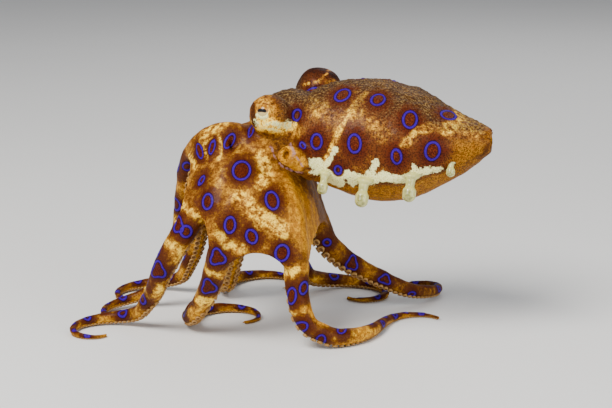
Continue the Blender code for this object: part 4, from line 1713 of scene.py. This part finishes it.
    def arm_places(self, points: Array) -> tuple[Array, Array, Array, Array]:
        """Where points lie on the arms.

        Args:
            points: One point in each row.

        Returns:
            For each point the nearest arm's number, the distance along it, the angle from its back,
            and its back.
        """
        stations = []
        for index, arm in enumerate(self.arms):
            count = round(arm.length / arm.step)
            for number in range(count + 1):
                distance = arm.length * number / count
                stations.append((index, distance, arm.at(distance), -arm.oral(distance),
                                 arm.tangent(distance)))
        tree = KDTree(len(stations))
        for number, station in enumerate(stations):
            tree.insert(station[2], number)
        tree.balance()
        nearest = np.array([tree.find(p)[1] for p in points])
        index, distance, place, back, along = (np.array(column)[nearest] for column in zip(*stations))
        offset = points - place
        sideways = np.cross(along, back)
        around = np.arctan2(np.sum(offset * sideways, axis=1), np.sum(offset * back, axis=1))
        return index, distance, around, back


class Graph:
    """One material's nodes, added and linked by short calls."""

    def __init__(self, name: str) -> None:
        """Starts the material with its own shader.

        Args:
            name: The material's name.
        """
        self.material = bpy.data.materials.new(name)
        self.material.use_nodes = True
        self.nodes = self.material.node_tree.nodes
        self.links = self.material.node_tree.links
        self.shader = self.nodes["Principled BSDF"]

    def feed(self, socket: Socket, value: object) -> None:
        """Links a socket to another or sets its number or colour.

        Args:
            socket: The socket.
            value: The other socket, a number, a vector or a colour.
        """
        if isinstance(value, Socket):
            self.links.new(value, socket)
        elif isinstance(value, tuple) and len(value) == 3 and socket.type == "RGBA":
            socket.default_value = (*value, 1.0)
        else:
            socket.default_value = value

    def add(self, kind: str, inputs: dict, output: int | str = 0, **settings: object) -> Socket:
        """Adds a node.

        Args:
            kind: The node's type, without its common first letters.
            inputs: Values or sockets for its inputs, by name or number.
            output: The output that is wanted.
            **settings: The node's own settings.

        Returns:
            That output.
        """
        node = self.nodes.new("ShaderNode" + kind)
        for name, value in settings.items():
            setattr(node, name, value)
        for key, value in inputs.items():
            self.feed(node.inputs[key], value)
        return node.outputs[output]

    def millimetres(self) -> Socket:
        """The object's own coordinates in millimetres."""
        place = self.add("TexCoord", {}, "Object")
        return self.add("VectorMath", {0: place, "Scale": 1.0 / MM}, operation="SCALE")

    def value(self, name: str) -> Socket:
        """A value kept on the mesh."""
        return self.add("Attribute", {}, "Fac", attribute_name=name)

    def math(self, operation: str, one: object, other: object = 0.0) -> Socket:
        """One sum, product or the like."""
        return self.add("Math", {0: one, 1: other}, operation=operation)

    def plus(self, value: object, other: object, share: object) -> Socket:
        """A value and a share of another."""
        return self.math("ADD", value, self.math("MULTIPLY", other, share))

    def noise(self, place: object, scale: float, detail: float = 2.0, rough: float = 0.5) -> Socket:
        """Cloudy noise, its scale in patches a millimetre."""
        return self.add("TexNoise", {"Vector": place, "Scale": scale, "Detail": detail,
                                     "Roughness": rough})

    def eased(self, value: object, low: float, high: float, start: float = 0.0,
              end: float = 1.0) -> Socket:
        """Eases the value's stretch from low to high onto start to end."""
        return self.add("MapRange", {"Value": value, "From Min": low, "From Max": high, "To Min": start,
                                     "To Max": end}, interpolation_type="SMOOTHSTEP")

    def mix(self, share: object, one: object, other: object, kind: str = "MIX") -> Socket:
        """Mixes two colours."""
        return self.add("Mix", {0: share, 6: one, 7: other}, 2, data_type="RGBA", blend_type=kind)

    def ramp(self, value: object, stops: tuple[tuple[float, Colour], ...]) -> Socket:
        """Colours along a value.

        Args:
            value: The value.
            stops: The places on it, in order, with their colours.

        Returns:
            The colour.
        """
        node = self.nodes.new("ShaderNodeValToRGB")
        self.feed(node.inputs[0], value)
        elements = node.color_ramp.elements
        for end, (place, colour) in zip((0, 1), (stops[0], stops[-1])):
            elements[end].position = place
            elements[end].color = (*colour, 1.0)
        for place, colour in stops[1:-1]:
            elements.new(place).color = (*colour, 1.0)
        return node.outputs[0]

    def bump(self, height: object, strength: float, depth: float) -> Socket:
        """Fine relief, its depth in metres."""
        return self.add("Bump", {"Height": height, "Strength": strength, "Distance": depth})

    def finish(self, **values: object) -> Material:
        """Sets the shader's inputs.

        Args:
            **values: Values or sockets by the inputs' names, with underscores for spaces.

        Returns:
            The material.
        """
        for name, value in values.items():
            self.feed(self.shader.inputs[name.replace("_", " ")], value)
        return self.material


@dataclass(frozen=True)
class SkinFinish:
    """The living skin: mottled cream, gold and brown, with blue rings in dark haloes."""

    ring_blue: Colour = (0.030, 0.0, 0.19)
    ring_light: Colour = (0.042, 0.0, 0.31)
    ring_edge: Colour = (0.006, 0.001, 0.010)
    ring_inside: Colour = (0.034, 0.003, 0.001)
    ring_fleck: Colour = (0.085, 0.014, 0.003)
    halo_dark: Colour = (0.048, 0.007, 0.002)
    halo_warm: Colour = (0.068, 0.016, 0.003)
    gold: Colour = (0.35, 0.135, 0.003)
    gold_light: Colour = (0.62, 0.29, 0.008)
    gold_deep: Colour = (0.085, 0.024, 0.001)
    gold_fleck: Colour = (0.235, 0.092, 0.004)
    dot: Colour = (0.030, 0.007, 0.002)
    white: Colour = (0.55, 0.47, 0.11)
    white_light: Colour = (0.90, 0.88, 0.42)
    lilac: Colour = (0.36, 0.20, 0.26)
    crust_dark: Colour = (0.026, 0.010, 0.006)
    crust_brown: Colour = (0.100, 0.048, 0.018)
    crust_cream: Colour = (0.42, 0.260, 0.085)
    half_line: float = 0.19
    tone_stops: tuple[tuple[float, Colour], ...] = (
        (0.00, (0.010, 0.002, 0.001)),
        (0.22, (0.036, 0.008, 0.002)),
        (0.42, (0.100, 0.031, 0.005)),
        (0.60, (0.235, 0.096, 0.011)),
        (0.80, (0.480, 0.230, 0.015)),
        (1.00, (0.880, 0.560, 0.050)),
    )

    def build(self) -> Material:
        """Makes the material.

        Returns:
            The material.
        """
        g = Graph("octopus_skin")
        spot = g.millimetres()
        broad = g.noise(spot, 0.34, 2.0, 0.55)
        mottle = g.noise(spot, 1.15, 4.0, 0.62)
        fine = g.noise(spot, 4.2, 2.0, 0.6)
        dark, gold, pale, light = (g.value(n) for n in ("dark", "gold", "pale", "light"))
        grain, rough, lilac = (g.value(n) for n in ("grain", "rough", "lilac"))
        uneven = g.math("SUBTRACT", mottle, 0.5)
        specks = g.math("SUBTRACT", fine, 0.5)

        tone = g.plus(0.41, broad, 0.55)
        tone = g.plus(tone, uneven, g.eased(grain, 0.0, 1.0, 1.15, 0.62))
        tone = g.plus(tone, specks, 0.6)
        tone = g.math("SUBTRACT", tone, g.math("MULTIPLY", dark, 0.62))
        tone = g.plus(tone, light, g.eased(mottle, 0.36, 0.60, 0.16, 0.52))
        colour = g.ramp(tone, self.tone_stops)

        gold_tone = g.mix(g.eased(mottle, 0.42, 0.66), self.gold, self.gold_light)
        deep = g.mix(g.eased(fine, 0.42, 0.62), self.gold_deep, self.gold_fleck)
        gold_tone = g.mix(g.eased(dark, 0.15, 0.75), gold_tone, deep)
        golden = g.math("MULTIPLY", gold, g.eased(light, 0.3, 1.0, 0.88, 0.0))
        colour = g.mix(golden, colour, gold_tone)
        cells = g.add("TexVoronoi", {"Vector": spot, "Scale": 1.9, "Randomness": 0.9}, "Distance")
        dots = g.eased(g.plus(cells, fine, 0.12), 0.33, 0.24)
        dots = g.math("MULTIPLY", dots, g.eased(gold, 0.15, 0.7, 0.12, 0.74))
        colour = g.mix(dots, colour, self.dot)

        torn = g.plus(g.plus(pale, uneven, 1.45), specks, 0.35)
        torn = g.math("MULTIPLY", g.eased(torn, 0.40, 0.62), g.eased(pale, 0.02, 0.16))

        first, second = g.value("ring_one"), g.value("ring_two")
        inside = g.math("MINIMUM", first, second)
        line = g.math("MINIMUM", g.math("ABSOLUTE", first), g.math("ABSOLUTE", second))
        ragged = g.plus(g.plus(inside, uneven, 1.9), specks, 1.0)
        ragged = g.math("ADD", ragged, g.eased(grain, 0.0, 1.0, 0.65, 0.0))
        held = g.math("MULTIPLY", g.eased(light, 0.2, 1.0, 1.0, 0.15), g.eased(torn, 0.0, 1.0, 1.0, 0.0))
        colour = g.mix(g.math("MULTIPLY", g.eased(ragged, 4.0, 1.3), held), colour, self.halo_warm)
        colour = g.mix(g.math("MULTIPLY", g.eased(ragged, 2.1, 0.4), held), colour, self.halo_dark)
        core = g.mix(g.eased(fine, 0.35, 0.65), self.ring_inside, self.ring_fleck)
        colour = g.mix(g.eased(inside, 0.0, -0.28), colour, core)
        sand = g.add("TexVoronoi", {"Vector": spot, "Scale": 3.3, "Randomness": 1.0}, "Distance")
        shade = g.eased(sand, 0.10, 0.66, 0.34, 1.75)
        colour = g.mix(g.eased(grain, 0.0, 1.0, 0.35, 0.92), colour, shade, "MULTIPLY")

        crust = g.noise(spot, 2.7, 3.0, 0.7)
        crusted = g.mix(g.eased(crust, 0.40, 0.50), self.crust_dark, self.crust_brown)
        crusted = g.mix(g.eased(crust, 0.53, 0.60), crusted, self.crust_cream)
        crusted = g.mix(1.0, crusted, g.eased(dark, 0.48, 0.68, 1.0, 0.60), "MULTIPLY")
        clear = g.math("MULTIPLY", g.eased(ragged, 0.7, 2.8, 0.12, 0.80), g.eased(rough, 0.1, 1.0))
        colour = g.mix(clear, colour, crusted)

        torn = g.math("MULTIPLY", torn, g.eased(inside, 0.45, 0.85))
        white = g.mix(g.eased(fine, 0.30, 0.55), self.white, self.white_light)
        colour = g.mix(torn, colour, white)
        broken = g.math("MULTIPLY", lilac, g.eased(mottle, 0.40, 0.56, 0.25, 1.0))
        colour = g.mix(g.eased(broken, 0.15, 0.9, 0.0, 0.7), colour, self.lilac)
        edge = g.eased(line, self.half_line + 0.27, self.half_line + 0.05)
        colour = g.mix(edge, colour, self.ring_edge)
        blue = g.mix(g.eased(fine, 0.35, 0.7), self.ring_blue, self.ring_light)
        colour = g.mix(g.eased(line, self.half_line + 0.06, self.half_line - 0.05), colour, blue)

        height = g.plus(g.math("MULTIPLY", mottle, 0.5), fine, 0.5)
        height = g.plus(height, g.math("MULTIPLY", sand, grain), -0.5)
        height = g.plus(height, g.math("MULTIPLY", crust, rough), 2.0)
        height = g.plus(height, torn, 0.8)
        relief = g.bump(height, 0.55, 0.00016)
        rough = g.eased(mottle, 0.3, 0.7, 0.44, 0.62)
        return g.finish(Base_Color=colour, Roughness=rough, Normal=relief, Subsurface_Weight=0.04,
                        Subsurface_Radius=(1.0, 0.35, 0.15), Subsurface_Scale=0.0004,
                        Specular_IOR_Level=0.05, Coat_Weight=0.04, Coat_Roughness=0.14)


@dataclass(frozen=True)
class EyeFinish:
    """A wet golden iris with a black level slit."""

    iris: Colour = (0.50, 0.22, 0.004)
    iris_dark: Colour = (0.20, 0.060, 0.002)
    white: Colour = (0.60, 0.44, 0.16)
    slit_edge: Colour = (0.10, 0.035, 0.01)
    slit: Colour = (0.004, 0.004, 0.005)

    def build(self) -> Material:
        """Makes the material.

        Returns:
            The material.
        """
        g = Graph("octopus_eye")
        spot = g.millimetres()
        fleck = g.noise(spot, 3.2, 3.0, 0.6)
        out, slit = g.value("from_sight"), g.value("slit")
        colour = g.mix(g.eased(fleck, 0.35, 0.65), self.iris_dark, self.iris)
        colour = g.mix(g.eased(out, 1.10, 1.28), colour, self.white)
        colour = g.mix(g.eased(slit, 0.14, 0.02), colour, self.slit_edge)
        colour = g.mix(g.eased(slit, 0.05, -0.03), colour, self.slit)
        return g.finish(Base_Color=colour, Roughness=0.35, Coat_Weight=0.55, Coat_Roughness=0.03,
                        Specular_IOR_Level=0.15)


@dataclass(frozen=True)
class CupFinish:
    """The suckers: pale cream cups with a darker pit."""

    rim: Colour = (0.36, 0.20, 0.055)
    wall: Colour = (0.17, 0.070, 0.014)
    blotch: Colour = (0.26, 0.10, 0.02)

    def build(self) -> Material:
        """Makes the material.

        Returns:
            The material.
        """
        g = Graph("octopus_suckers")
        spot = g.millimetres()
        mottle = g.noise(spot, 2.4, 3.0, 0.6)
        share = g.eased(g.value("rim"), 0.25, 0.85)
        colour = g.mix(share, self.wall, self.rim)
        colour = g.mix(g.math("MULTIPLY", g.eased(mottle, 0.45, 0.7), 0.35), colour, self.blotch)
        relief = g.bump(mottle, 0.3, 0.0001)
        return g.finish(Base_Color=colour, Roughness=0.4, Normal=relief, Subsurface_Weight=0.08,
                        Subsurface_Radius=(1.0, 0.5, 0.25), Subsurface_Scale=0.0004,
                        Specular_IOR_Level=0.2)


@dataclass(frozen=True)
class PapillaFinish:
    """Clear jelly, milky white, for the hanging papillae, whiter towards the outline as a painted bright
    rim.
    """

    body: Colour = (0.19, 0.185, 0.045)
    # Milk clouds the jelly, and also paints the bright rim at the outline.
    milk_and_rim_light: Colour = (0.62, 0.60, 0.22)

    def build(self) -> Material:
        """Makes the material.

        Returns:
            The material.
        """
        g = Graph("octopus_papillae")
        spot = g.millimetres()
        cloud = g.noise(spot, 1.6, 4.0, 0.65)
        cloudy = g.mix(g.eased(cloud, 0.34, 0.66, 0.0, 0.7), self.body, self.milk_and_rim_light)
        # Milk where the clear value is low: a painted bright rim at the outline, and the jelly's own milky
        # root by the mantle.
        colour = g.mix(g.value("clear"), self.milk_and_rim_light, cloudy)
        relief = g.bump(cloud, 0.25, 0.00008)
        return g.finish(Base_Color=colour, Roughness=0.24, Normal=relief, Subsurface_Weight=0.7,
                        Subsurface_Radius=(1.0, 0.9, 0.6), Subsurface_Scale=0.0012,
                        Transmission_Weight=0.18, Coat_Weight=0.4, Coat_Roughness=0.1)


@dataclass(frozen=True)
class FloorFinish:
    """The studio's pale floor."""

    pale: Colour = (0.78, 0.78, 0.77)
    paler: Colour = (0.80, 0.80, 0.79)

    def build(self) -> Material:
        """Makes the material.

        Returns:
            The material.
        """
        g = Graph("studio_floor")
        cloud = g.noise(g.millimetres(), 0.02, 2.0)
        colour = g.mix(cloud, self.pale, self.paler)
        return g.finish(Base_Color=colour, Roughness=0.7)


@dataclass(frozen=True)
class Papillae:
    """The bulbs that hang from the mantle's side ridges."""

    mantle: Mantle
    # Share of the mantle's length, length and bulb radius.
    bulbs: tuple[Place, ...] = (
        (0.165, 3.3, 0.95), (0.375, 4.1, 1.22), (0.60, 4.0, 1.22), (0.79, 1.9, 0.8))
    # Shares of the bulb's radius from the root to the bulb's middle, and the rows that round its end.
    radii: tuple[float, ...] = (1.5, 1.25, 0.74, 0.66, 1.02, 1.0)
    end_rows: int = 8
    end_length: float = 0.9
    # The ways of the root and of the bulb, as shares outwards and down.
    root_way: Pair = (0.8, 0.6)
    hang_way: Pair = (0.45, 0.9)

    def bulb(self, share: float, length: float, radius: float, angle: float,
             outward: float) -> EditMesh:
        """One papilla: a flared root, a neck and a round bulb.

        Args:
            share: Its share of the mantle's length.
            length: How far it hangs.
            radius: The bulb's radius.
            angle: The ridge's angle on the mantle.
            outward: 1 on the near side and -1 on the far side.

        Returns:
            The closed papilla.
        """
        _, near, _ = self.mantle.axes(share)
        root = self.mantle.point(share, angle)
        hang, middle = ((near * outward * out - Vector((0, 0, down))).normalized()
                        for out, down in (self.hang_way, self.root_way))
        bend = root + middle * length * 0.25
        stops = [root - near * outward * 1.0, root + middle * length * 0.05, bend,
                 bend + hang * length * 0.28, bend + hang * length * 0.55, bend + hang * length * 0.72]
        points = catmull_rom(stops, 0.16)
        forward = (points[-1] - points[-2]).normalized()
        side = forward.cross(near).normalized()
        above = side.cross(forward)
        rows = [(points[0], side, above, 0.0)]
        steps = len(self.radii) - 1
        for row, place in enumerate(points[1:], 1):
            at = row / (len(points) - 1) * steps
            low = min(int(at), steps - 1)
            t = eased((0.0, 1.0), at - low)
            size = self.radii[low] * (1 - t) + self.radii[low + 1] * t
            rows.append((place, side, above, radius * size))
        reach = radius * self.radii[-1]
        for row in range(1, self.end_rows + 1):
            tilt = row / self.end_rows * math.pi / 2
            place = points[-1] + forward * reach * self.end_length * math.sin(tilt)
            rows.append((place, side, above, reach * math.cos(tilt)))
        return tube(rows, 24)

    def build(self, finish: PapillaFinish) -> Piece:
        """All the papillae as one piece.

        Args:
            finish: Their finish.

        Returns:
            The piece.
        """
        made = []
        ridge = self.mantle.ridge_angle
        for angle, outward in ((ridge, 1.0), (math.pi - ridge, -1.0)):
            for share, length, radius in self.bulbs:
                made.append(self.bulb(share, length, radius, angle, outward))
        piece = gathered("papillae", made)
        points, normals = mesh_arrays(piece.data)
        _, _, reach = self.mantle.coordinates(points)
        near = np.array(self.mantle.axes(0.5)[1])
        # Whiter towards the outline as seen from the near side, a painted bright rim; whiter by the mantle
        # too, the jelly's own milky root.
        off_painted_rim = ramp(0.55, 0.92, np.abs(normals @ near))
        put_values(piece.data, "clear", off_painted_rim * ramp(1.12, 1.3, reach))
        settle(piece)
        dress(piece, finish.build())
        return piece


@dataclass(frozen=True)
class Suckers:
    """The cups, in two rows along the side of each arm that faces the mouth."""

    arms: tuple[ArmRoute, ...]
    first: float = 7.5
    sides: int = 10
    spacing: float = 2.25
    tip_room: float = 0.9
    seed: int = 5
    # Where a cup's rim stands: a share of the arm's radius, and one of its own.
    seat: float = 0.96
    rise: float = 0.50
    foot_radius: float = 0.78
    height: float = 1.3
    # How far each face ring of the cup's mouth lies inside the last, and its step up.
    insets: tuple[Pair, ...] = ((0.26, 0.05), (0.22, -0.30), (0.18, -0.12))

    def cup(self) -> bpy.types.Mesh:
        """One cup of unit radius, its rim at Z = 0.

        Returns:
            The cup.
        """
        bm = bmesh.new()
        bmesh.ops.create_cone(
            bm, cap_ends=True, segments=self.sides, radius1=self.foot_radius, radius2=1.0,
            depth=self.height, matrix=Matrix.Translation((0, 0, -self.height / 2)))
        top = [f for f in bm.faces if f.normal.z > 0.9]
        rim = {v for f in top for v in f.verts}
        for thickness, depth in self.insets:
            bmesh.ops.inset_individual(bm, faces=top, thickness=thickness, depth=depth)
        mesh = bpy.data.meshes.new("cup")
        values = [1.0 if v in rim else 0.75 if v.co.z > -0.02 else 0.0 for v in bm.verts]
        bm.to_mesh(mesh)
        bm.free()
        put_values(mesh, "rim", np.array(values))
        return mesh

    def build(self, finish: CupFinish) -> Piece:
        """All the cups as one piece.

        Args:
            finish: Their finish.

        Returns:
            The piece.
        """
        cup = self.cup()
        bm = bmesh.new()
        vary = random.Random(self.seed)
        for arm in self.arms:
            for side in (-1.0, 1.0):
                distance = self.first + (0.0 if side > 0 else self.spacing * 0.5 * arm.sucker_radius(0.1))
                while distance < arm.length - self.tip_room:
                    self.add_cup(bm, cup, arm, distance, side, vary)
                    distance += self.spacing * arm.sucker_radius(distance / arm.length)
        bpy.data.meshes.remove(cup)
        piece = new_piece("suckers", bm)
        settle(piece)
        dress(piece, finish.build())
        return piece

    def add_cup(self, bm: EditMesh, cup: bpy.types.Mesh, arm: ArmRoute, distance: float,
                side: float, vary: random.Random) -> None:
        """Adds one cup.

        Args:
            bm: The mesh that it joins.
            cup: The unit cup.
            arm: The arm that carries it.
            distance: Its distance from the mouth.
            side: Which of the two rows.
            vary: The draw of its small differences.
        """
        radius = arm.sucker_radius(distance / arm.length) * vary.uniform(0.93, 1.05)
        angle = side * arm.sucker_row_angle * vary.uniform(0.94, 1.06)
        turn = Matrix.Rotation(angle, 3, arm.tangent(distance))
        out = turn @ arm.oral(distance)
        rim = arm.at(distance) + out * (arm.radius(distance) * self.seat + radius * self.rise)
        place = Matrix.Translation(rim) @ out.to_track_quat("Z", "Y").to_matrix().to_4x4()
        place = place @ Matrix.Rotation(vary.uniform(0, math.tau), 4, "Z") @ Matrix.Scale(radius, 4)
        before = len(bm.verts)
        bm.from_mesh(cup)
        bm.verts.ensure_lookup_table()
        bmesh.ops.transform(bm, matrix=place, verts=bm.verts[before:])


@dataclass(frozen=True)
class Studio:
    """The floor, the light and the camera."""

    view: ViewPoint
    # Each lamp's name, place and side in metres, power in watts and tint: a broad key from the left
    # above, a low fill and a soft rim.
    lamps: tuple[tuple[str, Place, float, float, Colour], ...] = (
        ("key", (-0.22, -0.30, 0.42), 0.26, 5.2, (1.0, 0.97, 0.92)),
        ("fill", (0.34, -0.32, 0.16), 0.36, 1.5, (0.95, 0.97, 1.0)),
        ("rim", (0.15, 0.40, 0.38), 0.30, 0.6, (1.0, 1.0, 1.0)),
    )
    lamp_target: Place = (0.0, 0.0, 0.022)
    air: Colour = (0.92, 0.94, 1.0)
    air_strength: float = 0.30
    floor_size: float = 3.0
    nearest: float = 0.01
    farthest: float = 20.0

    def build(self) -> None:
        """Sets the whole studio."""
        self.floor()
        self.lights()
        self.camera()

    def floor(self) -> None:
        """Lays a wide pale floor."""
        bm = bmesh.new()
        bmesh.ops.create_grid(bm, x_segments=1, y_segments=1, size=self.floor_size)
        floor = new_piece("studio_floor", bm)
        floor.data.materials.append(FloorFinish().build())

    def lights(self) -> None:
        """Hangs the lamps and sets the even light of the air."""
        for lamp in self.lamps:
            self.light(*lamp)
        world = bpy.data.worlds.new("studio_air")
        world.use_nodes = True
        background = world.node_tree.nodes["Background"]
        background.inputs["Color"].default_value = (*self.air, 1.0)
        background.inputs["Strength"].default_value = self.air_strength
        bpy.context.scene.world = world

    def light(self, name: str, place: Place, size: float, power: float, colour: Colour) -> None:
        """Adds one soft lamp that looks at the animal.

        Args:
            name: The lamp's name.
            place: Where it hangs, in metres.
            size: The side of its panel, in metres.
            power: Its power in watts.
            colour: Its tint.
        """
        lamp = bpy.data.lights.new(name, "AREA")
        lamp.size = size
        lamp.energy = power
        lamp.color = colour
        carrier = bpy.data.objects.new(name, lamp)
        carrier.location = place
        aim = Vector(self.lamp_target) - Vector(place)
        carrier.rotation_euler = aim.to_track_quat("-Z", "Y").to_euler()
        bpy.context.scene.collection.objects.link(carrier)

    def camera(self) -> None:
        """Sets the camera at the photograph's angle."""
        data = bpy.data.cameras.new("camera")
        data.lens = self.view.lens
        data.sensor_width = self.view.sensor
        data.clip_start = self.nearest
        data.clip_end = self.farthest
        camera = bpy.data.objects.new("camera", data)
        camera.location = (self.view.place() + CENTRE_SHIFT) * MM
        camera.rotation_euler = (-self.view.back()).to_track_quat("-Z", "Y").to_euler()
        bpy.context.scene.collection.objects.link(camera)
        bpy.context.scene.camera = camera


def main() -> None:
    """Builds the animal and its studio."""
    view = ViewPoint()
    Studio(view).build()
    mantle, head, web, funnel = Mantle(), Head(), Web(), Funnel()
    skin = Skin(view, mantle, head, web, funnel, ARM_ROUTES)
    piece = skin.build()
    skin.paint(piece)
    settle(piece)
    dress(piece, SkinFinish().build())
    arm_nodes = [f"arm_{arm.name}_{length}" for arm in ARM_ROUTES for length in ARM_LENGTH_NAMES]
    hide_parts(*SKIN_NODES, *arm_nodes)
    for eye in (head.near_eye, head.far_eye):
        eye.ball(EyeFinish())
    Papillae(mantle).build(PapillaFinish())
    Suckers(ARM_ROUTES).build(CupFinish())


if __name__ == "__main__":
    main()
